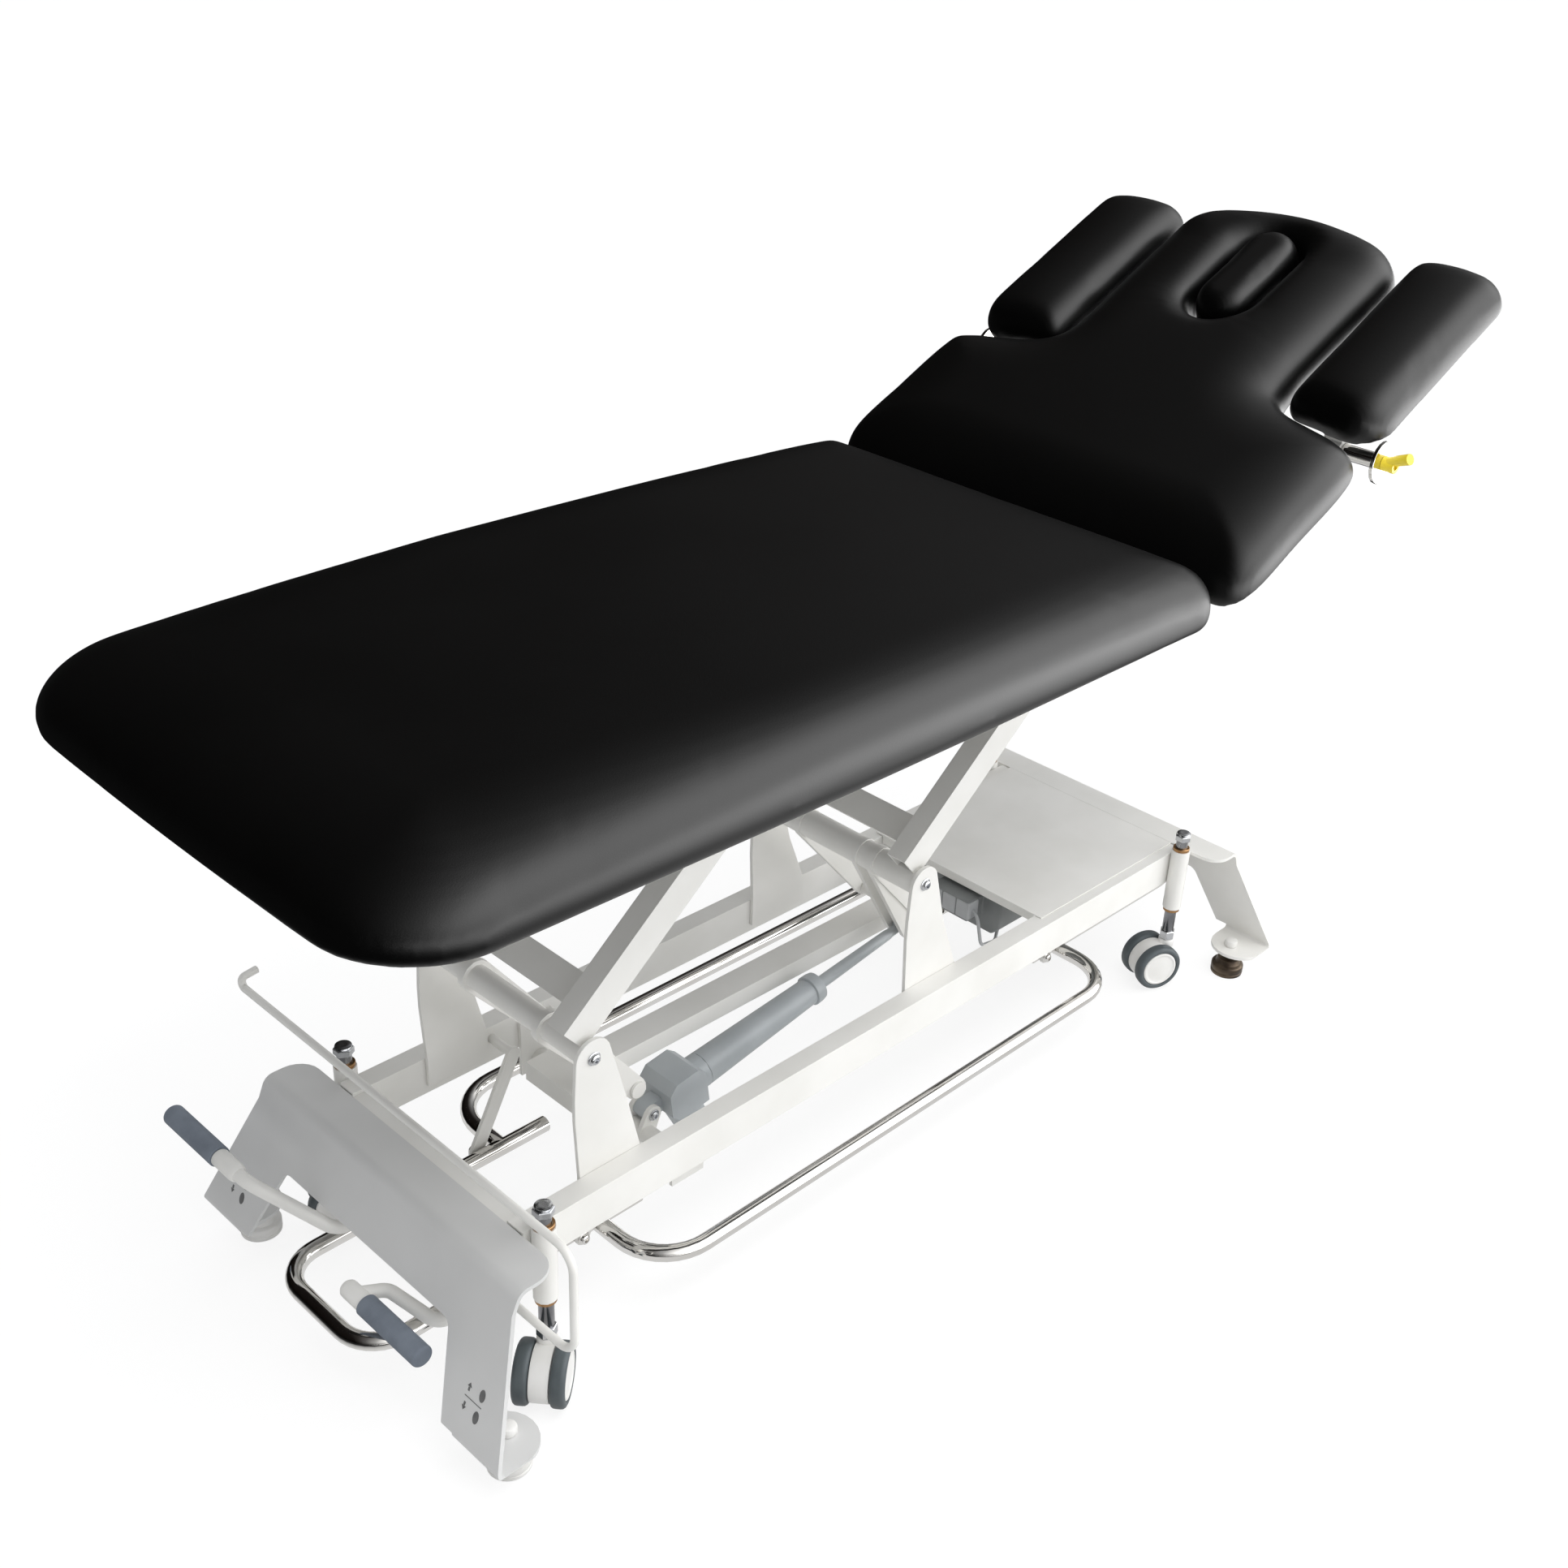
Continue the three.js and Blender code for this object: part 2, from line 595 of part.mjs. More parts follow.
function liftArm(pivotX, pivotTubeDiameter) {
  const stiffenerStart = 30;
  const stiffenerEnd = 70;
  const stiffenerThickness = 5;
  const topTubeDiameter = 30;
  const tubeOutline = [
    armPoint(pivotX, armTubeStart, armTubeLowOffset),
    armPoint(pivotX, armTubeEnd, armTubeLowOffset),
    armPoint(pivotX, armTubeEnd, armTubeHighOffset),
    armPoint(pivotX, armTubeStart, armTubeHighOffset),
  ];
  const stiffener = [
    armPoint(pivotX, stiffenerStart, armTubeLowOffset + stiffenerThickness),
    armPoint(pivotX, stiffenerEnd, armTubeLowOffset + stiffenerThickness),
    armPoint(pivotX, stiffenerEnd, armTubeLowOffset + 2 * stiffenerThickness),
    armPoint(pivotX, stiffenerStart, armTubeLowOffset + 2 * stiffenerThickness),
  ];
  const upperX = pivotX + topPivotX;
  const hollowOutline = [
    armPoint(pivotX, armTubeStart - cutOverrun, armTubeLowOffset + armWall),
    armPoint(pivotX, armTubeEnd + cutOverrun, armTubeLowOffset + armWall),
    armPoint(pivotX, armTubeEnd + cutOverrun, armTubeHighOffset - armWall),
    armPoint(pivotX, armTubeStart - cutOverrun, armTubeHighOffset - armWall),
  ];
  const hollowInnerY = armTubeInnerY + armWall;
  const hollowOuterY = armTubeOuterY - armWall;
  const nearTube = cut(
    sidePlate(tubeOutline, -armTubeOuterY, -armTubeInnerY),
    sidePlate(hollowOutline, -hollowOuterY, -hollowInnerY),
  );
  const farTube = cut(
    sidePlate(tubeOutline, armTubeInnerY, armTubeOuterY),
    sidePlate(hollowOutline, hollowInnerY, hollowOuterY),
  );
  let arm = join(
    nearTube,
    farTube,
    barAlongY(pivotX, pivotZ, -pivotTubeHalfLength, pivotTubeHalfLength, pivotTubeDiameter),
    barAlongY(upperX, topPivotZ, -pivotTubeHalfLength, pivotTubeHalfLength, topTubeDiameter),
    sidePlate(stiffener, -armTubeInnerY - weldOverlap, armTubeInnerY + weldOverlap),
    tieLever(pivotX, leverInnerY, leverOuterY),
    tieLever(pivotX, -leverOuterY, -leverInnerY),
  );
  const bore = shaftDiameter + 2 * boreClearance;
  const overrun = pivotTubeHalfLength + cutOverrun;
  arm = cut(arm, barAlongY(pivotX, pivotZ, -overrun, overrun, bore));
  return cut(arm, barAlongY(upperX, topPivotZ, -overrun, overrun, bore));
}

// The head arm also has the two levers that the actuator pulls on
function actuatorLever(y0, y1, boltSide) {
  const boltDiameter = 16;
  const boltHeight = 5;
  const x = headPivotX + rodPinDX;
  const z = pivotZ + rodPinDZ;
  const outline = linkOutline(headPivotX, pivotZ, leverHubRadius, x, z, leverEyeRadius);
  const boltY0 = boltSide < 0 ? y0 - boltHeight : y1 - weldOverlap;
  const boltY1 = boltSide < 0 ? y0 + weldOverlap : y1 + boltHeight;
  return join(sidePlate(outline, y0, y1), barAlongY(x, z, boltY0, boltY1, boltDiameter, 6));
}

function headLiftArm() {
  const headTubeDiameter = 38;
  const innerY = actuatorY + rodEyeWidth / 2 + slideClearance;
  const outerY = actuatorY - rodEyeWidth / 2 - slideClearance;
  const bore = barAlongY(
    headPivotX, pivotZ, -pivotTubeHalfLength, pivotTubeHalfLength, shaftDiameter + 2 * boreClearance,
  );
  const levers = join(
    actuatorLever(innerY, innerY + actuatorLeverThickness, 1),
    actuatorLever(outerY - actuatorLeverThickness, outerY, -1),
  );
  return join(liftArm(headPivotX, headTubeDiameter), cut(levers, bore));
}

const footTubeDiameter = 30;
add("foot_lift_arm", liftArm(footPivotX, footTubeDiameter), whitePaint);
add("head_lift_arm", headLiftArm(), whitePaint);

// Tie beam that keeps both arms parallel, with its two cross pins
function tieBeam() {
  const beamHalfWidth = 20;
  const beamHeight = 26;
  const blockHalfWidth = 44;
  const blockFootX = -446;
  const blockHeadX = -400;
  const headOverhang = 25;
  const headPlateHalfWidth = 58;
  const headPlateLength = 30;
  const washerDiameter = 22;
  const washerThickness = 4;
  const z0 = pivotZ + tiePinDZ - beamHeight / 2;
  const z1 = z0 + beamHeight;
  const footPinX = footPivotX + tiePinDX;
  const headPinX = headPivotX + tiePinDX;
  const pinZ = pivotZ + tiePinDZ;
  const pinEndY = leverOuterY + gap + washerThickness;
  let beam = join(
    block(blockFootX, headPinX + headOverhang, -beamHalfWidth, beamHalfWidth, z0, z1),
    block(blockFootX, blockHeadX, -blockHalfWidth, blockHalfWidth, z0, z1),
  );
  for (const x of [footPinX, headPinX]) {
    const collarEnd = leverInnerY - gap;
    beam = join(beam, barAlongY(x, pinZ, -pinEndY, pinEndY, tiePinDiameter));
    beam = join(beam, barAlongY(x, pinZ, leverOuterY + gap, pinEndY, washerDiameter, 10));
    beam = join(beam, barAlongY(x, pinZ, -pinEndY, -leverOuterY - gap, washerDiameter, 10));
    const near = x === headPinX ? beamHalfWidth : collarEnd;
    beam = join(beam, barAlongY(x, pinZ, -near, collarEnd, washerDiameter, 10));
  }
  const plateX0 = headPinX + leverEyeRadius;
  const capPlate = block(
    plateX0, plateX0 + headPlateLength / 2, -headPlateHalfWidth / 2, headPlateHalfWidth / 2, z0, z1,
  );
  return join(beam, capPlate);
}

add("tie_beam", tieBeam(), whitePaint);

// Actuator: bracket on the base, motor housing, outer tube and rod
const rodPinX = headPivotX + rodPinDX;
const rodPinZ = pivotZ + rodPinDZ;
const actuatorAngle = Math.atan2(rodPinZ - rearPinZ, rodPinX - rearPinX);
const actuatorReach = Math.hypot(rodPinX - rearPinX, rodPinZ - rearPinZ);
const housingStart = 8;
const housingEnd = 78;
const housingHalfWidth = 29;
const outerTubeEnd = 303;
const rodDiameter = 17;
const rearLugWidth = 20;
const rearPinDiameter = 10;
const earThickness = 6;

function actuatorPoint(along, offset) {
  return [
    rearPinX + along * Math.cos(actuatorAngle) - offset * Math.sin(actuatorAngle),
    rearPinZ + along * Math.sin(actuatorAngle) + offset * Math.cos(actuatorAngle),
  ];
}

function actuatorVector(along) {
  const [x, z] = actuatorPoint(along, 0);
  return new THREE.Vector3(x, actuatorY, z);
}

function actuatorBracket() {
  const crossTubeDiameter = 26;
  const crossTubeZ = 147;
  const hangerFootX = -380;
  const hangerHeadX = -330;
  const hangerThickness = 5;
  const earRadius = 12;
  const hangerTopZ = 214;
  const hangerBottomZ = 131;
  const hangerOuterY = railInnerY - gap;
  const bracketX = -352;
  const tubeHalf = hangerOuterY - weldOverlap;
  let bracket = barAlongY(bracketX, crossTubeZ, -tubeHalf, tubeHalf, crossTubeDiameter);
  for (const side of [-1, 1]) {
    const y0 = Math.min(side * hangerOuterY, side * (hangerOuterY - hangerThickness));
    const y1 = Math.max(side * hangerOuterY, side * (hangerOuterY - hangerThickness));
    bracket = join(bracket, block(hangerFootX, hangerHeadX, y0, y1, hangerBottomZ, hangerTopZ));
    const earY = actuatorY + side * (rearLugWidth / 2 + gap);
    const earY0 = Math.min(earY, earY + side * earThickness);
    const ear = linkOutline(
      bracketX, crossTubeZ, crossTubeDiameter / 2 + weldOverlap, rearPinX, rearPinZ, earRadius,
    );
    const plate = sidePlate(ear, earY0, earY0 + earThickness);
    const hole = barAlongY(
      rearPinX, rearPinZ, earY0 - cutOverrun, earY0 + earThickness + cutOverrun,
      rearPinDiameter + 2 * boreClearance,
    );
    bracket = join(bracket, cut(plate, hole));
  }
  return bracket;
}

function motorHousing() {
  const housingHigh = 34;
  const housingLow = -24;
  const cornerCut = 12;
  const lugRadius = 11;
  const motorDiameter = 46;
  const motorStart = 44;
  const motorLength = 74;
  const motorLeanDegrees = -62;
  const outline = [
    actuatorPoint(housingStart + lugRadius, housingLow + cornerCut),
    actuatorPoint(housingStart + lugRadius + cornerCut, housingLow),
    actuatorPoint(housingEnd, housingLow),
    actuatorPoint(housingEnd, housingHigh - cornerCut),
    actuatorPoint(housingEnd - cornerCut, housingHigh),
    actuatorPoint(housingStart + lugRadius + cornerCut, housingHigh),
    actuatorPoint(housingStart + lugRadius, housingHigh - cornerCut),
  ];
  const y0 = actuatorY - housingHalfWidth;
  const y1 = actuatorY + housingHalfWidth;
  const shell = sidePlate(outline, y0, y1);
  const [lugX, lugZ] = actuatorPoint(housingStart + lugRadius + cornerCut, 0);
  const lug = sidePlate(
    linkOutline(rearPinX, rearPinZ, lugRadius, lugX, lugZ, lugRadius - weldOverlap),
    actuatorY - rearLugWidth / 2, actuatorY + rearLugWidth / 2,
  );
  const pinHole = barAlongY(
    rearPinX, rearPinZ, y0, y1, rearPinDiameter + 2 * boreClearance,
  );
  const [motorX, motorZ] = actuatorPoint(motorStart, housingLow + motorDiameter / 2);
  const motorLean = radians(motorLeanDegrees);
  const motorFrom = new THREE.Vector3(motorX, actuatorY, motorZ);
  const motorTo = new THREE.Vector3(
    motorX + motorLength * Math.cos(motorLean), actuatorY, motorZ + motorLength * Math.sin(motorLean),
  );
  const motor = barBetween(motorFrom, motorTo, motorDiameter);
  const neck = barBetween(
    actuatorVector(housingEnd - cornerCut), actuatorVector(housingEnd + neckLength), neckDiameter,
  );
  const body = join(shell, lug, motor, neck);
  const bore = barBetween(
    actuatorVector(housingEnd), actuatorVector(housingEnd + neckLength + cutOverrun),
    outerTubeDiameter + 2 * gap,
  );
  return cut(body, pinHole, bore);
}

const neckLength = 14;
const neckDiameter = 46;
const outerTubeDiameter = 38;

function outerTube() {
  const collarLength = 16;
  const collarDiameter = 44;
  const tube = barBetween(
    actuatorVector(housingEnd + gap), actuatorVector(outerTubeEnd - collarLength / 2), outerTubeDiameter,
  );
  const collar = barBetween(
    actuatorVector(outerTubeEnd - collarLength), actuatorVector(outerTubeEnd),
    collarDiameter, collarDiameter - collarLength / 4,
  );
  const bore = barBetween(
    actuatorVector(housingEnd + neckLength), actuatorVector(outerTubeEnd + cutOverrun),
    rodDiameter + 2 * boreClearance,
  );
  return cut(join(tube, collar), bore);
}

function actuatorRod() {
  const rodStart = 118;
  const eyeRadius = 11;
  const eyeLength = 26;
  const rod = barBetween(
    actuatorVector(housingEnd + neckLength + rodStart),
    actuatorVector(actuatorReach - eyeRadius), rodDiameter,
  );
  const [neckX, neckZ] = actuatorPoint(actuatorReach - eyeLength, 0);
  const eye = sidePlate(
    linkOutline(rodPinX, rodPinZ, eyeRadius, neckX, neckZ, eyeRadius - weldOverlap),
    actuatorY - rodEyeWidth / 2, actuatorY + rodEyeWidth / 2,
  );
  return join(rod, eye);
}

function rearPin() {
  const headDiameter = 15;
  const headHeight = 4;
  const half = rearLugWidth / 2 + gap + earThickness + gap;
  const pinStart = actuatorY - half - headHeight;
  const pinEnd = actuatorY + half + headHeight;
  return join(
    barAlongY(rearPinX, rearPinZ, pinStart, pinEnd, rearPinDiameter),
    barAlongY(rearPinX, rearPinZ, pinStart, actuatorY - half, headDiameter, 12),
    barAlongY(rearPinX, rearPinZ, actuatorY + half, actuatorY + half + headHeight, headDiameter, 12),
  );
}

add("actuator_bracket", actuatorBracket(), whitePaint);
add("actuator_motor_housing", motorHousing(), actuatorGrey);
add("actuator_outer_tube", outerTube(), actuatorGrey);
add("actuator_rod", actuatorRod(), actuatorGrey);
add("actuator_rear_pin", rearPin(), chrome);

// Control box under its sheet steel cover at the head end
const coverFootX = 298;
const coverHeadX = 619;
const coverThickness = 1.5;
const coverLip = 12;
const coverHalfWidth = 145;

function boxCover() {
  const sheetZ = railTopZ + gap;
  const sideHalfWidth = coverHalfWidth + railWidth / 2;
  const top = block(coverFootX, coverHeadX, -sideHalfWidth, sideHalfWidth, sheetZ, sheetZ + coverThickness);
  const lip = block(
    coverFootX, coverFootX + coverThickness, -coverHalfWidth, coverHalfWidth,
    sheetZ - coverLip, sheetZ + weldOverlap,
  );
  return join(top, lip);
}

function controlBox() {
  const boxFootX = 312;
  const boxHeadX = 560;
  const boxHalfWidth = 78;
  const boxBottomZ = 147;
  const cornerCut = 14;
  const topZ = railTopZ;
  const outline = [
    [-boxHalfWidth, boxBottomZ + cornerCut],
    [-boxHalfWidth + cornerCut, boxBottomZ],
    [boxHalfWidth - cornerCut, boxBottomZ],
    [boxHalfWidth, boxBottomZ + cornerCut],
    [boxHalfWidth, topZ],
    [-boxHalfWidth, topZ],
  ];
  const body = frontPlate(outline, boxFootX, boxHeadX);
  const socketLength = 34;
  const socketHalfWidth = 30;
  const socketBottomZ = 172;
  const socketTopZ = 206;
  const sockets = block(
    boxFootX - socketLength, boxFootX + weldOverlap, -socketHalfWidth - cornerCut, socketHalfWidth,
    socketBottomZ, socketTopZ,
  );
  return join(body, sockets);
}

add("control_box_cover", boxCover(), whitePaint);
add("control_box", controlBox(), boxGrey);

// Castors: post through the sleeve, swivelling body and a pair of wheels on one axle
const wheelCentreZ = wheelDiameter / 2 + wheelLift;
const castorTrail = 22;
const postNutTopZ = 265.6;
const postCollarBottomZ = 78;
const bodyStemTopZ = postCollarBottomZ - gap;
const tyreWidth = 18;
const tyreSpacing = 42;
const axleDiameter = 10;

function castorPost() {
  const nutHeight = 13;
  const nutDiameter = 25;
  const collarDiameter = 24;
  const collarHeight = 14;
  return join(
    barAlongZ(0, 0, postCollarBottomZ, postNutTopZ - nutHeight / 2, postDiameter),
    barAlongZ(0, 0, postNutTopZ - nutHeight, postNutTopZ, nutDiameter, 6),
    barAlongZ(0, 0, postCollarBottomZ, postCollarBottomZ + collarHeight, collarDiameter, 6),
  );
}

function castorBody() {
  const bodyHalfWidth = tyreSpacing / 2 - tyreWidth / 2 - gap;
  const bodyRadius = 33;
  const stemDiameter = 24;
  const stemBottomZ = 60;
  const disc = barAlongY(castorTrail, wheelCentreZ, -bodyHalfWidth, bodyHalfWidth, 2 * bodyRadius, 16);
  const stem = barAlongZ(0, 0, stemBottomZ, bodyStemTopZ, stemDiameter);
  const web = block(
    -stemDiameter / 2, castorTrail, -bodyHalfWidth + weldOverlap, bodyHalfWidth - weldOverlap,
    wheelCentreZ, bodyStemTopZ - weldOverlap,
  );
  const axleHole = barAlongY(
    castorTrail, wheelCentreZ, -bodyHalfWidth - cutOverrun, bodyHalfWidth + cutOverrun,
    axleDiameter + 2 * boreClearance,
  );
  return cut(join(disc, stem, web), axleHole);
}

function castorWheels() {
  const tyreEdge = 3;
  const radius = wheelDiameter / 2;
  const hubRecess = 2;
  const hubRadius = 27;
  const profile = [
    new THREE.Vector2(0, -tyreWidth / 2),
    new THREE.Vector2(radius - tyreEdge, -tyreWidth / 2),
    new THREE.Vector2(radius, tyreEdge - tyreWidth / 2),
    new THREE.Vector2(radius, tyreWidth / 2 - tyreEdge),
    new THREE.Vector2(radius - tyreEdge, tyreWidth / 2),
    new THREE.Vector2(hubRadius + hubRecess, tyreWidth / 2),
    new THREE.Vector2(hubRadius, tyreWidth / 2 - hubRecess),
    new THREE.Vector2(0, tyreWidth / 2 - hubRecess),
  ];
  const wheel = solid(new THREE.LatheGeometry(profile, 16));
  const far = wheel.translate([castorTrail, tyreSpacing / 2, wheelCentreZ]);
  const near = wheel.mirror([0, 1, 0]).translate([castorTrail, -tyreSpacing / 2, wheelCentreZ]);
  const axle = barAlongY(castorTrail, wheelCentreZ, -tyreSpacing / 2, tyreSpacing / 2, axleDiameter, 8);
  return join(far, near, axle);
}

const castorHeadings = { foot_near: 220, foot_far: 150, head_near: 155, head_far: 205 };
for (const [endName, end] of [["foot", -1], ["head", 1]]) {
  for (const [sideName, side] of [["near", -1], ["far", 1]]) {
    const place = new THREE.Group();
    place.position.set(end * castorX, side * castorY, 0);
    table.add(place);
    add(`castor_post_${endName}_${sideName}`, castorPost(), chrome, place);
    const swivel = new THREE.Group();
    swivel.rotation.z = radians(castorHeadings[`${endName}_${sideName}`]);
    place.add(swivel);
    add(`castor_body_${endName}_${sideName}`, castorBody(), whitePaint, swivel);
    add(`castor_wheels_${endName}_${sideName}`, castorWheels(), tyreGrey, swivel);
  }
}

// Foot control: a chrome bar round the base on four struts
function controlBar() {
  const legEndX = 384;
  const loopEndX = 765;
  const loopRadius = 50;
  const sideLoopY = 208;
  const sideLoopRadius = 70;
  const sideFootX = -452;
  const sideHeadX = 435;
  const studEnd = strutOuterY + gap + studHeadHeight;
  const point = (x, y) => new THREE.Vector3(x, y, controlBarZ);
  const loops = [-1, 1].map((end) => bentBar([
    point(end * legEndX, -controlLegY),
    point(end * loopEndX, -controlLegY),
    point(end * loopEndX, controlLegY),
    point(end * legEndX, controlLegY),
  ], loopRadius, controlBarDiameter));
  const sides = [-1, 1].map((side) => bentBar([
    point(sideFootX, side * controlLegY),
    point(sideFootX, side * sideLoopY),
    point(sideHeadX, side * sideLoopY),
    point(sideHeadX, side * controlLegY),
  ], sideLoopRadius, controlBarDiameter));
  const studs = [];
  for (const x of [strutBottomX, strutBottomX + headStrutShiftX]) {
    for (const side of [-1, 1]) {
      const y0 = Math.min(side * controlLegY, side * studEnd);
      const y1 = Math.max(side * controlLegY, side * studEnd);
      studs.push(barAlongY(x, strutBottomZ, y0, y1, studDiameter, 8));
      const headY0 = Math.min(side * (studEnd - studHeadHeight), side * studEnd);
      studs.push(barAlongY(x, strutBottomZ, headY0, headY0 + studHeadHeight, studHeadDiameter, 8));
    }
  }
  return join(...loops, ...sides, ...studs);
}

const studDiameter = 8;
const studHeadDiameter = 16;
const studHeadHeight = 5;

function strutPair(shiftX) {
  const topX = footStrutTopX + shiftX;
  const bottomX = strutBottomX + shiftX;
  const bridgeDiameter = 10;
  const bridgeShare = 0.3;
  const bridgeX = bottomX + (topX - bottomX) * bridgeShare;
  const bridgeZ = strutBottomZ + (strutTopZ - strutBottomZ) * bridgeShare;
  let pair = barAlongY(bridgeX, bridgeZ, -strutOuterY, strutOuterY, bridgeDiameter, 8);
  for (const side of [-1, 1]) {
    const outline = linkOutline(bottomX, strutBottomZ, strutWidth / 2, topX, strutTopZ, strutWidth / 2 - gap);
    const y0 = Math.min(side * strutInnerY, side * strutOuterY);
    const y1 = Math.max(side * strutInnerY, side * strutOuterY);
    const lowerHole = barAlongY(
      bottomX, strutBottomZ, y0 - cutOverrun, y1 + cutOverrun, studDiameter + 2 * boreClearance, 12,
    );
    const upperHole = barAlongY(
      topX, strutTopZ, y0 - cutOverrun, y1 + cutOverrun, strutStudDiameter + 2 * boreClearance, 12,
    );
    pair = join(pair, cut(sidePlate(outline, y0, y1), lowerHole, upperHole));
  }
  return pair;
}

add("foot_control_bar", controlBar(), chrome);
add("foot_control_strut_foot", strutPair(0), whitePaint);
add("foot_control_strut_head", strutPair(headStrutShiftX), whitePaint);

// Castor pedals: bent levers on the foot cross beam, each with a soft grip
const pedalTubeDiameter = 16;
const gripDiameter = 26;
const gripCoreDiameter = 18;
const sleeveOuterDiameter = 22;
const farGripX = -765;
const farGripZ = 185;
const farGripY0 = 195;
const farGripY1 = 300;
const farSleeveY = 152;
const nearGripX = -740;
const nearGripZ = 118;
const nearGripY0 = -159;
const nearGripY1 = -53;
const nearSleeveY = -15;

function pedalHub(y) {
  return barAlongY(pedalAxisX, pedalAxisZ, y - pedalHubHalfWidth, y + pedalHubHalfWidth, pedalHubDiameter);
}

function pedalLever(path, hubY, sleeveX, sleeveZ, sleeveY0, sleeveY1, coreY0, coreY1) {
  const bendRadius = 14;
  const lever = join(
    bentBar(path, bendRadius, pedalTubeDiameter, 8, 3),
    pedalHub(hubY),
    barAlongY(sleeveX, sleeveZ, sleeveY0, sleeveY1, sleeveOuterDiameter),
    barAlongY(sleeveX, sleeveZ, coreY0, coreY1, gripCoreDiameter, 16),
  );
  const bore = barAlongY(
    pedalAxisX, pedalAxisZ, hubY - 2 * pedalHubHalfWidth, hubY + 2 * pedalHubHalfWidth,
    pedalShaftDiameter + 2 * boreClearance,
  );
  return cut(lever, bore);
}

function farPedal() {
  const undersideX = -702;
  const undersideZ = 124;
  const path = [
    new THREE.Vector3(pedalAxisX, farHubY, pedalAxisZ),
    new THREE.Vector3(undersideX, farHubY, undersideZ),
    new THREE.Vector3(farGripX, farSleeveY - pedalTubeDiameter, farGripZ),
    new THREE.Vector3(farGripX, farGripY0, farGripZ),
  ];
  const coreEnd = farGripY1 - gripDiameter / 2;
  return pedalLever(path, farHubY, farGripX, farGripZ, farSleeveY, farGripY0 - gap, farGripY0 - gap, coreEnd);
}

function nearPedal() {
  const undersideX = -698;
  const undersideZ = 115;
  const path = [
    new THREE.Vector3(pedalAxisX, nearHubY, pedalAxisZ),
    new THREE.Vector3(undersideX, nearHubY, undersideZ),
    new THREE.Vector3(
      undersideX - 0.75 * pedalTubeDiameter, nearSleeveY - 2.2 * pedalTubeDiameter, nearGripZ,
    ),
    new THREE.Vector3(nearGripX, nearSleeveY - pedalTubeDiameter, nearGripZ),
  ];
  const coreStart = nearGripY0 + gripDiameter / 2;
  const coreEnd = nearGripY1 + gap;
  return pedalLever(path, nearHubY, nearGripX, nearGripZ, coreEnd, nearSleeveY, coreStart, coreEnd);
}

function grip(x, z, y0, y1, openEnd) {
  const core = gripCoreDiameter + 2 * gap;
  const closed = gripDiameter / 2 - gap;
  const body = barAlongY(x, z, y0, y1, gripDiameter, 14);
  const boreY0 = openEnd < 0 ? y0 - cutOverrun : y0 + closed;
  const boreY1 = openEnd < 0 ? y1 - closed : y1 + cutOverrun;
  return cut(body, barAlongY(x, z, boreY0, boreY1, core, 16));
}

add("castor_pedal_far", farPedal(), whitePaint);
add("castor_pedal_near", nearPedal(), whitePaint);
add("castor_pedal_grip_far", grip(farGripX, farGripZ, farGripY0, farGripY1, -1), gripGrey);
add("castor_pedal_grip_near", grip(nearGripX, nearGripZ, nearGripY0, nearGripY1, 1), gripGrey);

// Paper roll rod: hook on the far side, carried by a foot on the near rail
function paperRollRod() {
  const rodSize = 9.5;
  const rodX = -640;
  const rodZ = 287;
  const hookY = 345;
  const hookZ = 312;
  const bendY = -288;
  const returnZ = 146;
  const returnY = -156;
  const bendRadius = 26;
  const hookRadius = 9;
  const socketWidth = 17;
  const socketFootX = -646;
  const socketHeadX = -604;
  const hook = bentBar([
    new THREE.Vector3(rodX, hookY - rodSize / 2, hookZ),
    new THREE.Vector3(rodX, hookY - rodSize / 2, rodZ),
    new THREE.Vector3(rodX, hookY - hookRadius - rodSize * 2, rodZ),
  ], hookRadius, rodSize, 8, 3);
  const rod = bentBar([
    new THREE.Vector3(rodX, hookY - hookRadius - rodSize * 2, rodZ),
    new THREE.Vector3(rodX, bendY, rodZ),
    new THREE.Vector3(rodX, bendY, returnZ),
    new THREE.Vector3(rodX, returnY, returnZ),
  ], bendRadius, rodSize, 8, 4);
  const socket = block(
    socketFootX, socketHeadX, returnY - socketWidth, returnY, returnZ - rodSize / 2, railBottomZ - gap,
  );
  return join(hook, rod, socket);
}

add("paper_roll_rod", paperRollRod(), whitePaint);

// Top frame: two long tubes, cross tubes, arm brackets and the ears of the head hinge
const frameTubeInnerY = 152;
const frameTubeOuterY = 182;
const frameWall = 2.5;
const frameTopZ = bodyBaseZ - gap;
const frameBottomZ = frameTopZ - frameTubeHeight;
const frameFootSetIn = 110;
const frameFootX = bodyFootX + frameFootSetIn;
const frameHeadSetBack = 22;
const frameHeadX = bodyHeadX - frameHeadSetBack;
const earInnerY = 168;
const earOuterY = 174;
const hingeBarrelDiameter = 18;

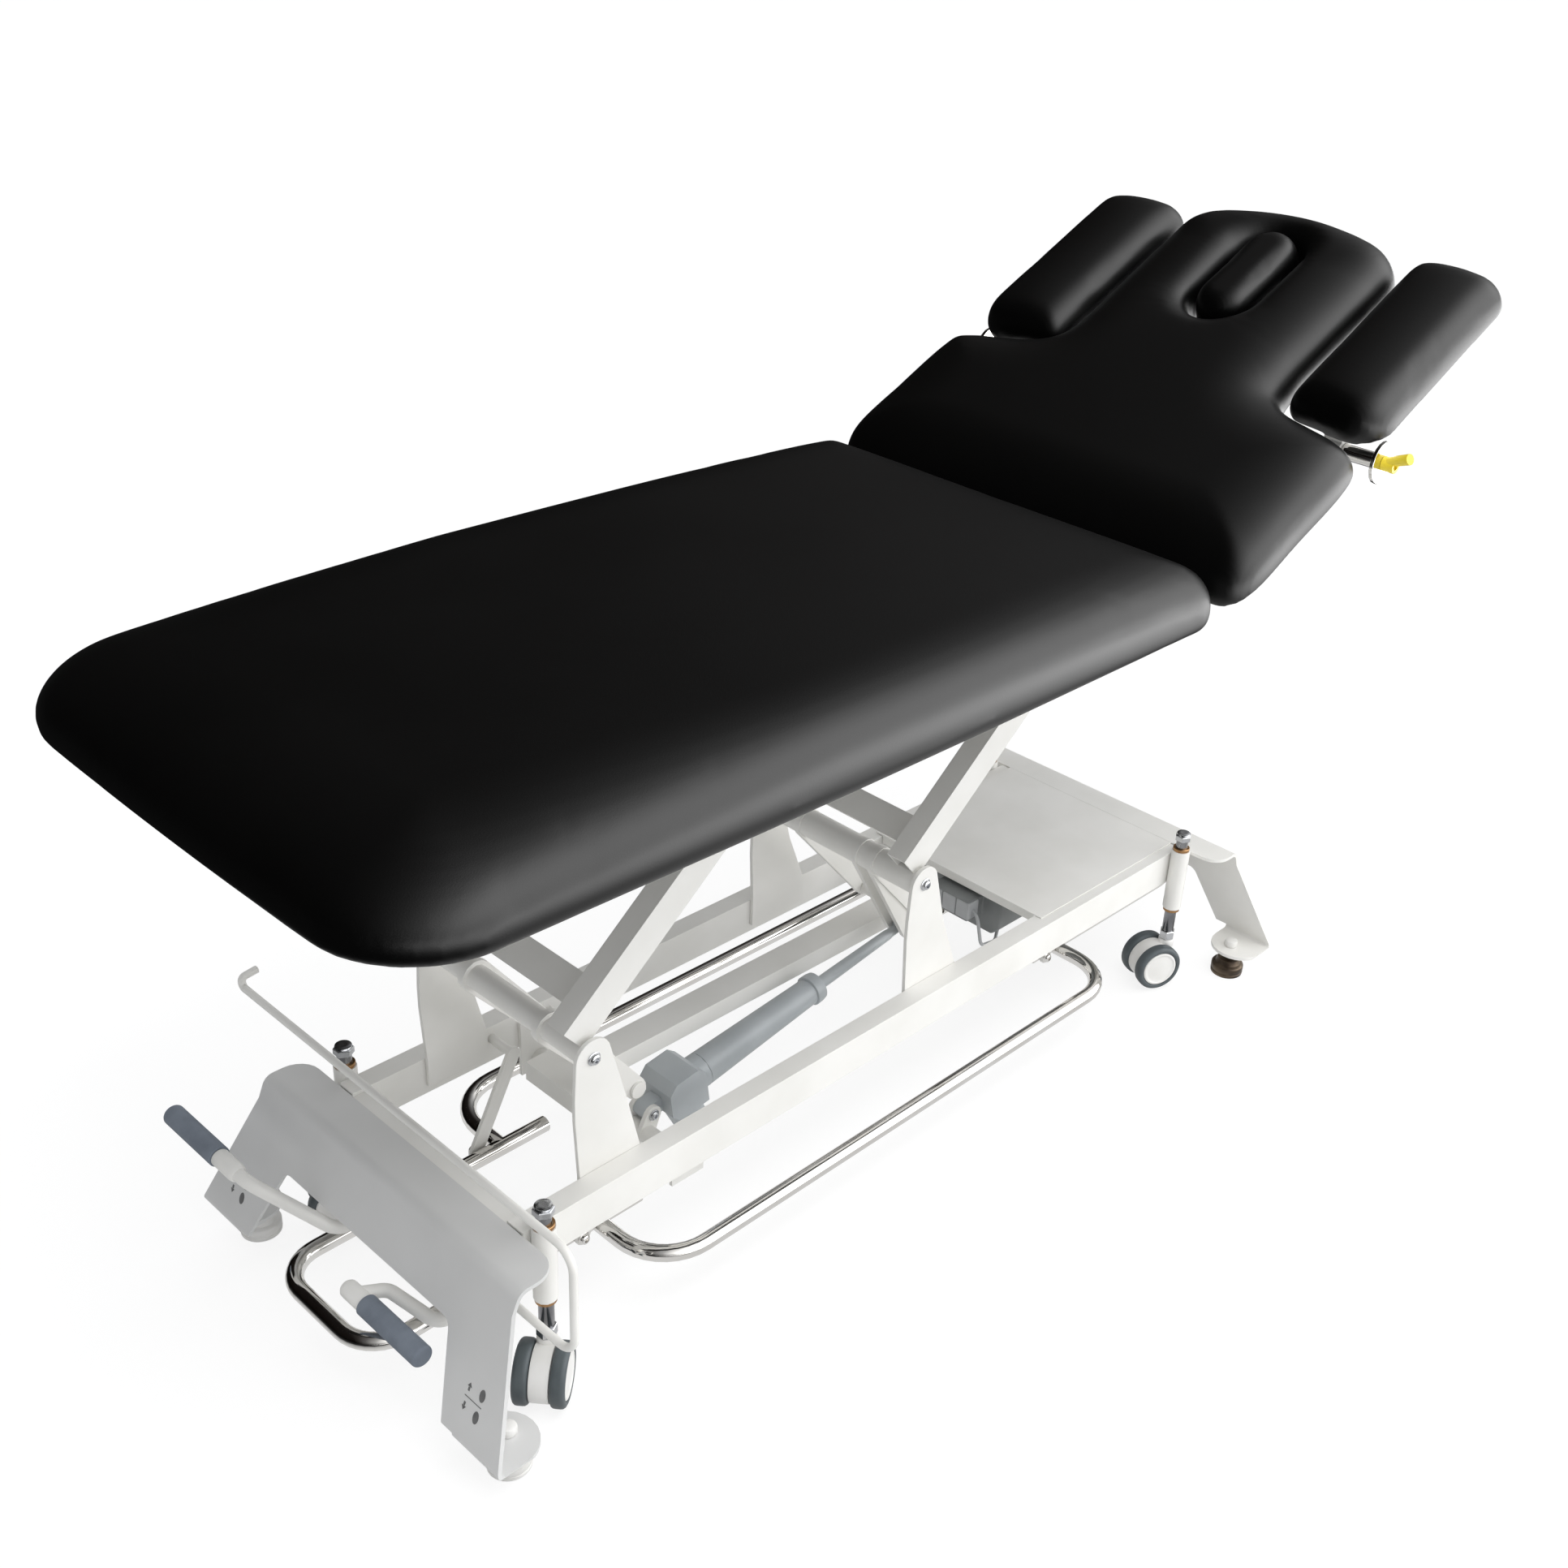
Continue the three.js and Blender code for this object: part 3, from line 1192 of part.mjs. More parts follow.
function topFrame() {
  const crossTubeWidth = 30;
  const crossTubeHeight = 26;
  const bracketHalfWidth = 34;
  const bracketEyeRadius = 20;
  const bracketInnerY = pivotTubeHalfLength + gap;
  const crossTubeReach = 180;
  const headCrossReach = 39.5;
  const footBracketX = footPivotX + topPivotX;
  const headBracketX = headPivotX + topPivotX;
  const crossPlaces = [
    frameFootX + crossTubeWidth,
    footBracketX - crossTubeReach,
    footBracketX + crossTubeReach,
    headBracketX - headCrossReach,
  ];
  let frame = null;
  for (const side of [-1, 1]) {
    const y0 = Math.min(side * frameTubeInnerY, side * frameTubeOuterY);
    const y1 = Math.max(side * frameTubeInnerY, side * frameTubeOuterY);
    const tube = cut(block(frameFootX, frameHeadX, y0, y1, frameBottomZ, frameTopZ), block(
      frameFootX - cutOverrun, frameHeadX + cutOverrun, y0 + frameWall, y1 - frameWall,
      frameBottomZ + frameWall, frameTopZ - frameWall,
    ));
    frame = frame ? join(frame, tube) : tube;
    for (const x of [footBracketX, headBracketX]) {
      const plateY0 = Math.min(side * bracketInnerY, side * frameTubeInnerY) - (side < 0 ? weldOverlap : 0);
      const plateY1 = Math.max(side * bracketInnerY, side * frameTubeInnerY) + (side > 0 ? weldOverlap : 0);
      const outline = [
        ...arc(x, topPivotZ, bracketEyeRadius, 200, 340, 10),
        [Math.min(x + bracketHalfWidth, hingeX - hingeBarrelDiameter), frameTopZ],
        [x - bracketHalfWidth, frameTopZ],
      ];
      const bracket = sidePlate(outline, plateY0, plateY1);
      const pin = barAlongY(
        x, topPivotZ, Math.min(side * (bracketInnerY + weldOverlap), side * pinInnerY),
        Math.max(side * (bracketInnerY + weldOverlap), side * pinInnerY), shaftDiameter,
      );
      frame = join(frame, bracket, pin);
    }
    const earY0 = Math.min(side * earInnerY, side * earOuterY);
    const ear = [
      [frameHeadX - 2 * frameTubeHeight, frameBottomZ],
      ...arc(hingeX, hingeZ, hingeBarrelDiameter / 2, -60, 180, 8),
      [frameHeadX - cutOverrun, frameTopZ],
      [frameHeadX - 2 * frameTubeHeight, frameTopZ],
    ];
    const hole = barAlongY(
      hingeX, hingeZ, earY0 - cutOverrun, earY0 + (earOuterY - earInnerY) + cutOverrun,
      hingePinDiameter + 2 * boreClearance,
    );
    frame = join(frame, cut(sidePlate(ear, earY0, earY0 + (earOuterY - earInnerY)), hole));
  }
  for (const x of crossPlaces) {
    const half = frameTubeInnerY + weldOverlap;
    const tube = block(
      x - crossTubeWidth / 2, x + crossTubeWidth / 2, -half, half, frameTopZ - crossTubeHeight, frameTopZ,
    );
    frame = join(frame, tube);
  }
  return frame;
}

const pinInnerY = 112;
add("top_frame", topFrame(), whitePaint);

// Padded cushions: rings drawn in toward the base and the crown
function ringOf(outline, inset) {
  const count = outline.length;
  return outline.map((point, i) => {
    const before = outline[(i + count - 1) % count];
    const after = outline[(i + 1) % count];
    const tangent = new THREE.Vector2().subVectors(after, before).normalize();
    return new THREE.Vector2(point.x - tangent.y * inset, point.y + tangent.x * inset);
  });
}

// Levels are [inset, height] pairs from the base up; the shrink rings crown the top
function cushion(outline, levels, crown, slant = () => 0) {
  const rings = levels.map(([inset, z]) => ringOf(outline, inset).map((p) => [p.x, p.y, z]));
  const centre = new THREE.Vector2();
  outline.forEach((p) => centre.addScaledVector(p, 1 / outline.length));
  const last = rings[rings.length - 1];
  crown.forEach(([share, z]) => rings.push(last.map(([x, y]) => [
    centre.x + (x - centre.x) * share, centre.y + (y - centre.y) * share, z,
  ])));
  const positions = [];
  rings.forEach((ring) => ring.forEach(([x, y, z]) => positions.push(x + slant(x, z), y, z)));
  const count = outline.length;
  const index = [];
  for (let i = 0; i < rings.length - 1; i += 1) {
    for (let k = 0; k < count; k += 1) {
      const a = i * count + k;
      const b = i * count + ((k + 1) % count);
      index.push(a, b, a + count, b, b + count, a + count);
    }
  }
  const flat = (ring) => ring.map(([x, y]) => new THREE.Vector2(x, y));
  const capOf = (ring) => THREE.ShapeUtils.triangulateShape(flat(ring), []);
  capOf(rings[0]).forEach(([a, b, c]) => index.push(a, c, b));
  const top = (rings.length - 1) * count;
  capOf(rings[rings.length - 1]).forEach(([a, b, c]) => index.push(top + a, top + b, top + c));
  const geometry = new THREE.BufferGeometry();
  geometry.setAttribute("position", new THREE.Float32BufferAttribute(positions, 3));
  geometry.setIndex(index);
  return solid(geometry);
}

// A closed outline with straight sides and one arc at each corner, counter-clockwise
function roundedOutline(corners, radii, steps) {
  const points = [];
  corners.forEach((corner, i) => {
    const before = corners[(i + corners.length - 1) % corners.length];
    const after = corners[(i + 1) % corners.length];
    const back = new THREE.Vector2().subVectors(before, corner).normalize();
    const ahead = new THREE.Vector2().subVectors(after, corner).normalize();
    const halfAngle = Math.acos(back.dot(ahead)) / 2;
    const middle = new THREE.Vector2().addVectors(back, ahead).normalize();
    const centre = corner.clone().addScaledVector(middle, radii[i] / Math.sin(halfAngle));
    const spoke = corner.clone().addScaledVector(back, radii[i] / Math.tan(halfAngle)).sub(centre);
    const turn = Math.PI - 2 * halfAngle;
    for (let k = 0; k <= steps; k += 1) {
      const angle = (turn * k) / steps;
      points.push(spoke.clone().rotateAround(new THREE.Vector2(), angle).add(centre));
    }
  });
  return points;
}

// A closed curve through mirrored half-outline points, counter-clockwise
function mirroredCurve(halfPoints, count) {
  const lower = halfPoints.map(([x, y]) => new THREE.Vector3(x, -y, 0));
  const upper = halfPoints.slice(1, -1).reverse().map(([x, y]) => new THREE.Vector3(x, y, 0));
  const curve = new THREE.CatmullRomCurve3([...lower, ...upper], true, "centripetal");
  return curve.getSpacedPoints(count).slice(0, count).map((p) => new THREE.Vector2(p.x, p.y));
}

// Section through a padded edge: insets and heights from the base to where the crown starts
function paddedEdge(baseZ, thickness, edge) {
  const levels = [];
  const baseInsetShare = 0.26;
  const lowShare = 0.42;
  const steps = 4;
  for (let i = 0; i <= 2; i += 1) {
    const turn = (Math.PI / 2) * (i / 2);
    levels.push([
      edge * baseInsetShare * (1 - Math.sin(turn)), baseZ + thickness * lowShare * (1 - Math.cos(turn)),
    ]);
  }
  const highShare = 0.95;
  for (let i = 1; i <= steps; i += 1) {
    const turn = (Math.PI / 2) * (i / steps);
    const rise = thickness * (highShare - lowShare);
    levels.push([edge * (1 - Math.cos(turn)), baseZ + thickness * lowShare + rise * Math.sin(turn)]);
  }
  return levels;
}

function bodyCushion() {
  const footCornerRadius = 112;
  const headCornerRadius = 74;
  const footBow = 8;
  const sideBow = 7;
  const edge = 46;
  const cornerSteps = 7;
  const sidePieces = 6;
  const halfWidth = tableWidth / 2;
  const halfLength = (bodyHeadX - bodyFootX) / 2;
  const middleX = (bodyFootX + bodyHeadX) / 2;
  const corners = [
    new THREE.Vector2(bodyFootX, -halfWidth),
    new THREE.Vector2(bodyHeadX, -halfWidth),
    new THREE.Vector2(bodyHeadX, halfWidth),
    new THREE.Vector2(bodyFootX, halfWidth),
  ];
  const radii = [footCornerRadius, headCornerRadius, headCornerRadius, footCornerRadius];
  const straight = roundedOutline(corners, radii, cornerSteps);
  const longPiece = tableWidth / sidePieces;
  const outline = [];
  straight.forEach((point, i) => {
    const next = straight[(i + 1) % straight.length];
    const pieces = Math.max(1, Math.round(point.distanceTo(next) / longPiece));
    for (let k = 0; k < pieces; k += 1) outline.push(point.clone().lerp(next, k / pieces));
  });
  // The foot end and the long sides are slightly bowed
  outline.forEach((point) => {
    const across = point.y / halfWidth;
    const along = (point.x - middleX) / halfLength;
    const footness = Math.max(0, -along);
    point.x += footBow * across * across * footness * footness;
    point.y -= sideBow * across * along * along;
  });
  const shoulderShare = 0.9;
  const shoulderDropShare = 0.02;
  const crownShare = 0.55;
  const crown = [
    [shoulderShare, tableTopZ - cushionThickness * shoulderDropShare],
    [crownShare, tableTopZ],
  ];
  return cushion(outline, paddedEdge(bodyBaseZ, cushionThickness, edge), crown);
}

add("body_cushion", bodyCushion(), leatherette);

// Head section, drawn level with its hinge axis at the origin and then tilted
const headSection = new THREE.Group();
headSection.position.set(hingeX, 0, hingeZ);
headSection.rotation.y = -radians(headTiltDegrees);
table.add(headSection);

const headLength = 734;
const headThickness = 74;
const headBase = 3;
const headHalfWidth = tableWidth / 2;
const faceHoleLength = 202;
const faceHoleWidth = 87;
const faceHoleCentre = 0.77 * headLength;
const armrestThickness = 60;
const armrestBase = 10;
const armrestEndX = 0.962 * headLength;
const armrestInnerShare = 0.548;
const armrestOuterShare = 0.982;
const armrestInnerY = headHalfWidth * armrestInnerShare;
const armrestOuterY = headHalfWidth * armrestOuterShare;
const armrestFrontX = 0.455 * headLength;
const armrestSkew = 30;
const crossTubeX = 0.493 * headLength;
const crossTubeDiameter = 22;
const headRailBottom = -32;
const crossTubeDrop = -16;

// A capsule outline along X, centred on Y = 0
function capsule(centreX, length, width, steps = 8) {
  const straight = (length - width) / 2;
  return [
    ...arc(centreX + straight, 0, width / 2, -90, 90, steps),
    ...arc(centreX - straight, 0, width / 2, 90, 270, steps),
  ];
}

function headCushion() {
  const edge = 34;
  const points = 72;
  const slantStart = 150;
  const slantShare = 0.5;
  const ringWidth = 26;
  const ringDepth = 9;
  const outlineShares = [
    [0.004, 0], [0.004, 0.45], [0.006, 0.8], [0.022, 0.925], [0.07, 0.985], [0.22, 1],
    [0.345, 0.995], [0.4, 0.955], [0.43, 0.87], [0.448, 0.74], [0.463, 0.635], [0.49, 0.556],
    [0.56, 0.53], [0.7, 0.531], [0.84, 0.533], [0.915, 0.517], [0.957, 0.44], [0.98, 0.3],
    [0.995, 0.14], [1, 0],
  ];
  const half = outlineShares.map(([x, y]) => [x * headLength, y * headHalfWidth]);
  const outline = mirroredCurve(half, points);
  const slant = (x, z) => slantShare * (z - headBase) * Math.max(0, 1 - x / slantStart);
  const body = cushion(outline, paddedEdge(headBase, headThickness, edge), [], slant);
  const top = headBase + headThickness;
  const well = flatPlate(
    capsule(faceHoleCentre, faceHoleLength + 2 * ringWidth, faceHoleWidth + 2 * ringWidth),
    top - ringDepth, top + cutOverrun,
  );
  const hole = flatPlate(
    capsule(faceHoleCentre, faceHoleLength, faceHoleWidth), headBase - cutOverrun, top + cutOverrun,
  );
  return cut(body, well, hole);
}

function facePlug() {
  const plugInset = 0.6;
  const plugLength = faceHoleLength - 2 * plugInset;
  const plugWidth = faceHoleWidth - 2 * plugInset;
  const edge = 16;
  const outline = capsule(faceHoleCentre, plugLength, plugWidth);
  const points = outline.map(([x, y]) => new THREE.Vector2(x, y));
  const levels = paddedEdge(headBase, headThickness, edge);
  return cushion(points, levels, []);
}

function armrestCushion(side) {
  const edge = 28;
  const cornerRadius = 40;
  const outerEndRadius = 58;
  const cornerSteps = 7;
  const corners = [
    new THREE.Vector2(armrestFrontX + armrestSkew, armrestInnerY),
    new THREE.Vector2(armrestEndX, armrestInnerY),
    new THREE.Vector2(armrestEndX - armrestSkew / 2, armrestOuterY),
    new THREE.Vector2(armrestFrontX, armrestOuterY),
  ];
  const radii = [cornerRadius, cornerRadius, outerEndRadius, cornerRadius];
  const outline = roundedOutline(corners, radii, cornerSteps);
  const pad = cushion(outline, paddedEdge(armrestBase, armrestThickness, edge), []);
  return side < 0 ? pad.mirror([0, 1, 0]) : pad;
}

function headFrame() {
  const railInner = 118;
  const railOuter = 146;
  const railStart = 5;
  const railEnd = 0.64 * headLength;
  const barrelHalf = earInnerY - gap;
  const top = headBase - gap;
  const crossStart = 0.545 * headLength;
  const crossWidth = 30;
  let frame = barAlongY(0, 0, -barrelHalf, barrelHalf, hingeBarrelDiameter);
  for (const side of [-1, 1]) {
    const y0 = Math.min(side * railInner, side * railOuter);
    const y1 = y0 + railOuter - railInner;
    const rail = block(railStart, railEnd, y0, y1, headRailBottom, top);
    const hollow = block(
      railStart + frameWall, railEnd + cutOverrun, y0 + frameWall, y1 - frameWall,
      headRailBottom + frameWall, top - frameWall,
    );
    frame = join(frame, cut(rail, hollow));
  }
  const beams = [crossStart, railEnd - crossWidth, railStart + crossWidth];
  for (const x of beams) {
    const half = railInner + weldOverlap;
    frame = join(frame, block(x, x + crossWidth, -half, half, top - crossWidth, top));
  }
  const boreEnd = barrelHalf + cutOverrun;
  const bore = barAlongY(0, 0, -boreEnd, boreEnd, hingePinDiameter + 2 * boreClearance);
  const tubeBore = barAlongY(
    crossTubeX, crossTubeDrop, -barrelHalf, barrelHalf, crossTubeDiameter + 2 * gap,
  );
  return cut(frame, bore, tubeBore);
}

function armrestBracket(side) {
  const barEnd = 0.831 * headLength;
  const barThickness = 6;
  const hubDiameter = 36;
  const hubHalfWidth = 14;
  const plateTop = armrestBase - gap;
  const middle = (armrestInnerY + armrestOuterY) / 2;
  const bar = sidePlate([
    [crossTubeX - hubDiameter / 3, crossTubeDrop],
    [crossTubeX + hubDiameter / 3, crossTubeDrop],
    [crossTubeX + hubDiameter, plateTop - barThickness],
    [barEnd, plateTop - barThickness],
    [barEnd, plateTop],
    [crossTubeX, plateTop],
  ], middle - hubHalfWidth, middle + hubHalfWidth);
  const hub = barAlongY(crossTubeX, crossTubeDrop, middle - hubHalfWidth, middle + hubHalfWidth, hubDiameter);
  const bore = barAlongY(
    crossTubeX, crossTubeDrop, middle - 2 * hubHalfWidth, middle + 2 * hubHalfWidth,
    crossTubeDiameter + 2 * boreClearance,
  );
  const bracket = cut(join(bar, hub), bore);
  return side < 0 ? bracket.mirror([0, 1, 0]) : bracket;
}

const tubeSetBack = 14;
const clampStudSize = 10;
const tubeEndY = headHalfWidth - tubeSetBack;
const clampDiscDiameter = 58;
const clampDiscThickness = 5;

function armrestTube() {
  const studLength = 12;
  let tube = barAlongY(crossTubeX, crossTubeDrop, -tubeEndY, tubeEndY, crossTubeDiameter);
  for (const side of [-1, 1]) {
    const y0 = Math.min(side * (tubeEndY - weldOverlap), side * (tubeEndY + clampDiscThickness));
    const y1 = Math.max(side * (tubeEndY - weldOverlap), side * (tubeEndY + clampDiscThickness));
    tube = join(tube, barAlongY(crossTubeX, crossTubeDrop, y0, y1, clampDiscDiameter, 18));
    const studY0 = Math.min(side * tubeEndY, side * (tubeEndY + studLength));
    tube = join(tube, barAlongY(crossTubeX, crossTubeDrop, studY0, studY0 + studLength, clampStudSize, 16));
  }
  return tube;
}

function clampLever(side) {
  const hubDiameter = 20;
  const hubLength = 18;
  const handleLength = 34;
  const handleDiameter = 15;
  const start = tubeEndY + clampDiscThickness + gap;
  const outwardShare = side < 0 ? 0.9 : 0.5;
  const riseShare = side < 0 ? 0.42 : -0.86;
  const handleRootZ = crossTubeDrop + Math.sign(riseShare) * hubDiameter / 4;
  const from = new THREE.Vector3(crossTubeX, start + hubLength / 2, handleRootZ);
  const to = new THREE.Vector3(
    crossTubeX, from.y + handleLength * outwardShare, from.z + handleLength * riseShare,
  );
  const lever = join(
    barAlongY(crossTubeX, crossTubeDrop, start, start + hubLength, hubDiameter, 16),
    barBetween(from, to, 0.9 * handleDiameter, handleDiameter, 12),
  );
  const boreStart = start - cutOverrun;
  const boreEnd = start + hubLength + cutOverrun;
  const boreSize = clampStudSize + 2 * boreClearance;
  const bore = barAlongY(crossTubeX, crossTubeDrop, boreStart, boreEnd, boreSize, 16);
  const whole = cut(lever, bore);
  return side < 0 ? whole.mirror([0, 1, 0]) : whole;
}

function hingePin() {
  const headDiameter = 16;
  const headHeight = 4;
  const half = earOuterY + gap;
  return join(
    barAlongY(0, 0, -half - headHeight, half + headHeight, hingePinDiameter),
    barAlongY(0, 0, half, half + headHeight, headDiameter, 16),
    barAlongY(0, 0, -half - headHeight, -half, headDiameter, 16),
  );
}

add("head_cushion", headCushion(), leatherette, headSection);
add("face_plug", facePlug(), leatherette, headSection);
add("head_frame", headFrame(), whitePaint, headSection);
add("head_hinge_pin", hingePin(), darkSteel, headSection);
add("armrest_cross_tube", armrestTube(), chrome, headSection);
for (const [sideName, side] of [["near", -1], ["far", 1]]) {
  add(`armrest_cushion_${sideName}`, armrestCushion(side), leatherette, headSection);
  add(`armrest_bracket_${sideName}`, armrestBracket(side), whitePaint, headSection);
  add(`armrest_clamp_lever_${sideName}`, clampLever(side), leverYellow, headSection);
}

// The origin is the centre of the table's box, on the floor
table.updateMatrixWorld(true);
const whole = new THREE.Box3().setFromObject(table, true);
table.position.x = -(whole.min.x + whole.max.x) / 2;
table.updateMatrixWorld(true);

export default table;
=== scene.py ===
import json
import math
import bmesh
import bpy
import numpy as np
from mathutils import Matrix, Vector


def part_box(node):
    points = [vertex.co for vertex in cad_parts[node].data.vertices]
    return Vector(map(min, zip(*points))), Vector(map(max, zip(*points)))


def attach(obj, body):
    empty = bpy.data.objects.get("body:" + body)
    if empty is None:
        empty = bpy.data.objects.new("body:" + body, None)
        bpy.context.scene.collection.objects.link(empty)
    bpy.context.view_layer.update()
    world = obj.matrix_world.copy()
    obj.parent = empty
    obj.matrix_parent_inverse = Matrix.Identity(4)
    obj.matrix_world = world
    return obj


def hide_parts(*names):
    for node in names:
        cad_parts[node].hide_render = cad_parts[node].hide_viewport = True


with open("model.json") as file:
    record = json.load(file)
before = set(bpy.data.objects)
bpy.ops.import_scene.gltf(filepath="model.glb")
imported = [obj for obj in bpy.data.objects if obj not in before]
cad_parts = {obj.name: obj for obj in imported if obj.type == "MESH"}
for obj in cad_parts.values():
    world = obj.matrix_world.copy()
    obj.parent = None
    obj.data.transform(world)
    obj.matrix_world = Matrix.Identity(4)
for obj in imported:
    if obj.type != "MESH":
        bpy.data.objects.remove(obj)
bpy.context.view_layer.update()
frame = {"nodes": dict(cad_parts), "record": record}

# The view: a camera held a little above the foot end on the near side, looking down
# along the table to its raised head section. Places along the table are given from
# the middle of the base, which is the middle of a rail.
middle_x = sum(corner.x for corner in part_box("rail_near")) / 2
camera_yaw, camera_pitch, camera_roll = (math.radians(a) for a in (-49.2, -28.8, 4.3))
look = Vector((
    -math.sin(camera_yaw) * math.cos(camera_pitch),
    math.cos(camera_yaw) * math.cos(camera_pitch),
    math.sin(camera_pitch),
))
level_right = look.cross(Vector((0, 0, 1))).normalized()
level_up = level_right.cross(look)
view_right = level_right * math.cos(camera_roll) + level_up * math.sin(camera_roll)
view_up = level_up * math.cos(camera_roll) - level_right * math.sin(camera_roll)
camera = bpy.data.objects.new("camera", bpy.data.cameras.new("camera"))
camera.data.sensor_width = 36.0
camera.data.lens = 41.46
camera.data.shift_x = -0.0584
camera.data.shift_y = 0.0074
camera.matrix_world = Matrix.Translation((middle_x - 1.4949, -1.3818, 1.5891)) @ Matrix(
    (view_right, view_up, -look)).transposed().to_4x4()
bpy.context.scene.collection.objects.link(camera)
bpy.context.scene.camera = camera
bpy.context.scene.view_settings.view_transform = "Standard"


# The room: a pale floor in a white studio with a bright near side. The far side is in
# shade, which only polished and smooth surfaces show, as their reflection.
def wired(tree, kind, values=(), feeds=(), operation=None):
    """A shader node. Values and feeds are pairs of an input and what it is set to or fed from."""
    node = tree.nodes.new("ShaderNode" + kind)
    if operation:
        node.operation = operation
    for socket, value in values:
        node.inputs[socket].default_value = value
    for socket, source in feeds:
        tree.links.new(source, node.inputs[socket])
    return node


def pointing(tree, place, way):
    """How far each direction or place lies the given way."""
    return wired(tree, "VectorMath", [(1, way)], [(0, place)], "DOT_PRODUCT").outputs["Value"]


def carried_over(tree, source, first, last, low, high):
    """The source's run from first to last, turned into one from low to high."""
    return wired(tree, "MapRange", [
        ("From Min", first), ("From Max", last), ("To Min", low), ("To Max", high)],
        [("Value", source)]).outputs["Result"]


def placed(name, data):
    """A new object with the given data, in the scene."""
    thing = bpy.data.objects.new(name, data)
    bpy.context.scene.collection.objects.link(thing)
    return thing


room = bpy.data.worlds.new("room")
room.use_nodes = True
bpy.context.scene.world = room
walls = room.node_tree
walls.nodes.clear()
direction = wired(walls, "TexCoord").outputs["Generated"]
bright_share = wired(
    walls, "Math", [(1, 0.5)], [(0, pointing(walls, direction, (0.25, -0.425, 0.075)))], "ADD")
band = wired(walls, "ValToRGB", feeds=[("Fac", bright_share.outputs[0])])
band.color_ramp.elements[0].color = (0.0015, 0.001, 0.0008, 1)
for position, shade in ((0.33, (0.002, 0.0016, 0.0014, 1)), (0.40, (0.010, 0.009, 0.0085, 1)),
                        (0.50, (0.036, 0.035, 0.035, 1)), (0.64, (0.13, 0.13, 0.13, 1)),
                        (0.76, (0.36, 0.36, 0.36, 1)), (0.90, (1, 1, 1, 1))):
    band.color_ramp.elements.new(position).color = shade
mirror_wall = wired(walls, "Background", feeds=[
    ("Color", band.outputs["Color"]),
    ("Strength", carried_over(walls, pointing(walls, direction, (0, 0, 1)), 0.05, 0.50, 1.2, 3.5))])
fill_strength = carried_over(walls, pointing(walls, direction, (0.55, -0.25, 0.65)), -0.6, 0.8, 0.18, 1.14)
fill_light = wired(
    walls, "Background", [("Color", (0.98, 0.99, 1, 1))], [("Strength", fill_strength)])
white_wall = wired(walls, "Background", [("Color", (1, 1, 1, 1)), ("Strength", 1.0)])
ray = wired(walls, "LightPath")
by_mirror = wired(walls, "MixShader", feeds=[
    (0, ray.outputs["Is Glossy Ray"]), (1, fill_light.outputs[0]), (2, mirror_wall.outputs[0])])
seen_ray = wired(walls, "Math", feeds=[
    (0, ray.outputs["Is Camera Ray"]), (1, ray.outputs["Is Transmission Ray"])], operation="MAXIMUM")
by_eye = wired(walls, "MixShader", feeds=[
    (0, seen_ray.outputs[0]), (1, by_mirror.outputs[0]), (2, white_wall.outputs[0])])
wired(walls, "OutputWorld", feeds=[("Surface", by_eye.outputs[0])])

floor_half = 60.0
floor_mesh = bpy.data.meshes.new("floor")
floor_mesh.from_pydata(
    [(-floor_half, -floor_half, 0), (floor_half, -floor_half, 0),
     (floor_half, floor_half, 0), (-floor_half, floor_half, 0)], [], [(0, 1, 2, 3)])
floor = placed("floor", floor_mesh)
floor_paint = bpy.data.materials.new("pale_floor")
floor_paint.use_nodes = True
paint = floor_paint.node_tree
paint.nodes.clear()
glow = wired(paint, "Emission", [("Strength", 1.12)])
matt = wired(paint, "BsdfDiffuse", [("Color", (0.82, 0.82, 0.82, 1))])
seen_floor = wired(paint, "MixShader", [(0, 0.26)], [(1, glow.outputs[0]), (2, matt.outputs[0])])
# Seen in shiny surfaces, the floor glows as a painted reflection: brighter towards the near side, and evenly
# bright close round the table.
spot_on_floor = wired(paint, "TexCoord").outputs["Object"]
near_side = carried_over(paint, pointing(paint, spot_on_floor, (0.50, -0.85, 0.0)), 0.8, 2.6, 0.02, 3.8)
reach = wired(paint, "VectorMath", feeds=[(0, spot_on_floor)], operation="LENGTH")
under_table = carried_over(paint, reach.outputs["Value"], 0.85, 1.15, 0.75, 0.0)
brighter = wired(paint, "Math", feeds=[(0, near_side), (1, under_table)], operation="MAXIMUM")
mirrored_glow = wired(paint, "Emission", feeds=[("Strength", brighter.outputs[0])])
ray = wired(paint, "LightPath")
by_mirror = wired(paint, "MixShader", feeds=[
    (0, ray.outputs["Is Glossy Ray"]), (1, matt.outputs[0]), (2, mirrored_glow.outputs[0])])
by_eye = wired(paint, "MixShader", feeds=[
    (0, ray.outputs["Is Camera Ray"]), (1, by_mirror.outputs[0]), (2, seen_floor.outputs[0])])
wired(paint, "OutputMaterial", feeds=[("Surface", by_eye.outputs[0])])
floor.data.materials.append(floor_paint)


def soft_lamp(name, place, target, width, height, watts, mirrored=True):
    """A rectangular soft lamp that faces its target and isn't itself seen. One that isn't
    mirrored doesn't show in shiny surfaces either."""
    lamp = bpy.data.lights.new(name, "AREA")
    lamp.shape = "RECTANGLE"
    lamp.size, lamp.size_y, lamp.energy = width, height, watts
    holder = placed(name, lamp)
    holder.location = place
    holder.rotation_euler = (Vector(target) - Vector(place)).to_track_quat("-Z", "Y").to_euler()
    holder.visible_camera = False
    holder.visible_glossy = mirrored


soft_lamp("near_lamp", (2.2, -2.4, 0.8), (0, 0, 0.6), 2.6, 1.5, 32)
soft_lamp("top_lamp", (-0.5, -1.3, 3.0), (-0.5, 0, 0.3), 2.0, 1.2, 34, mirrored=False)


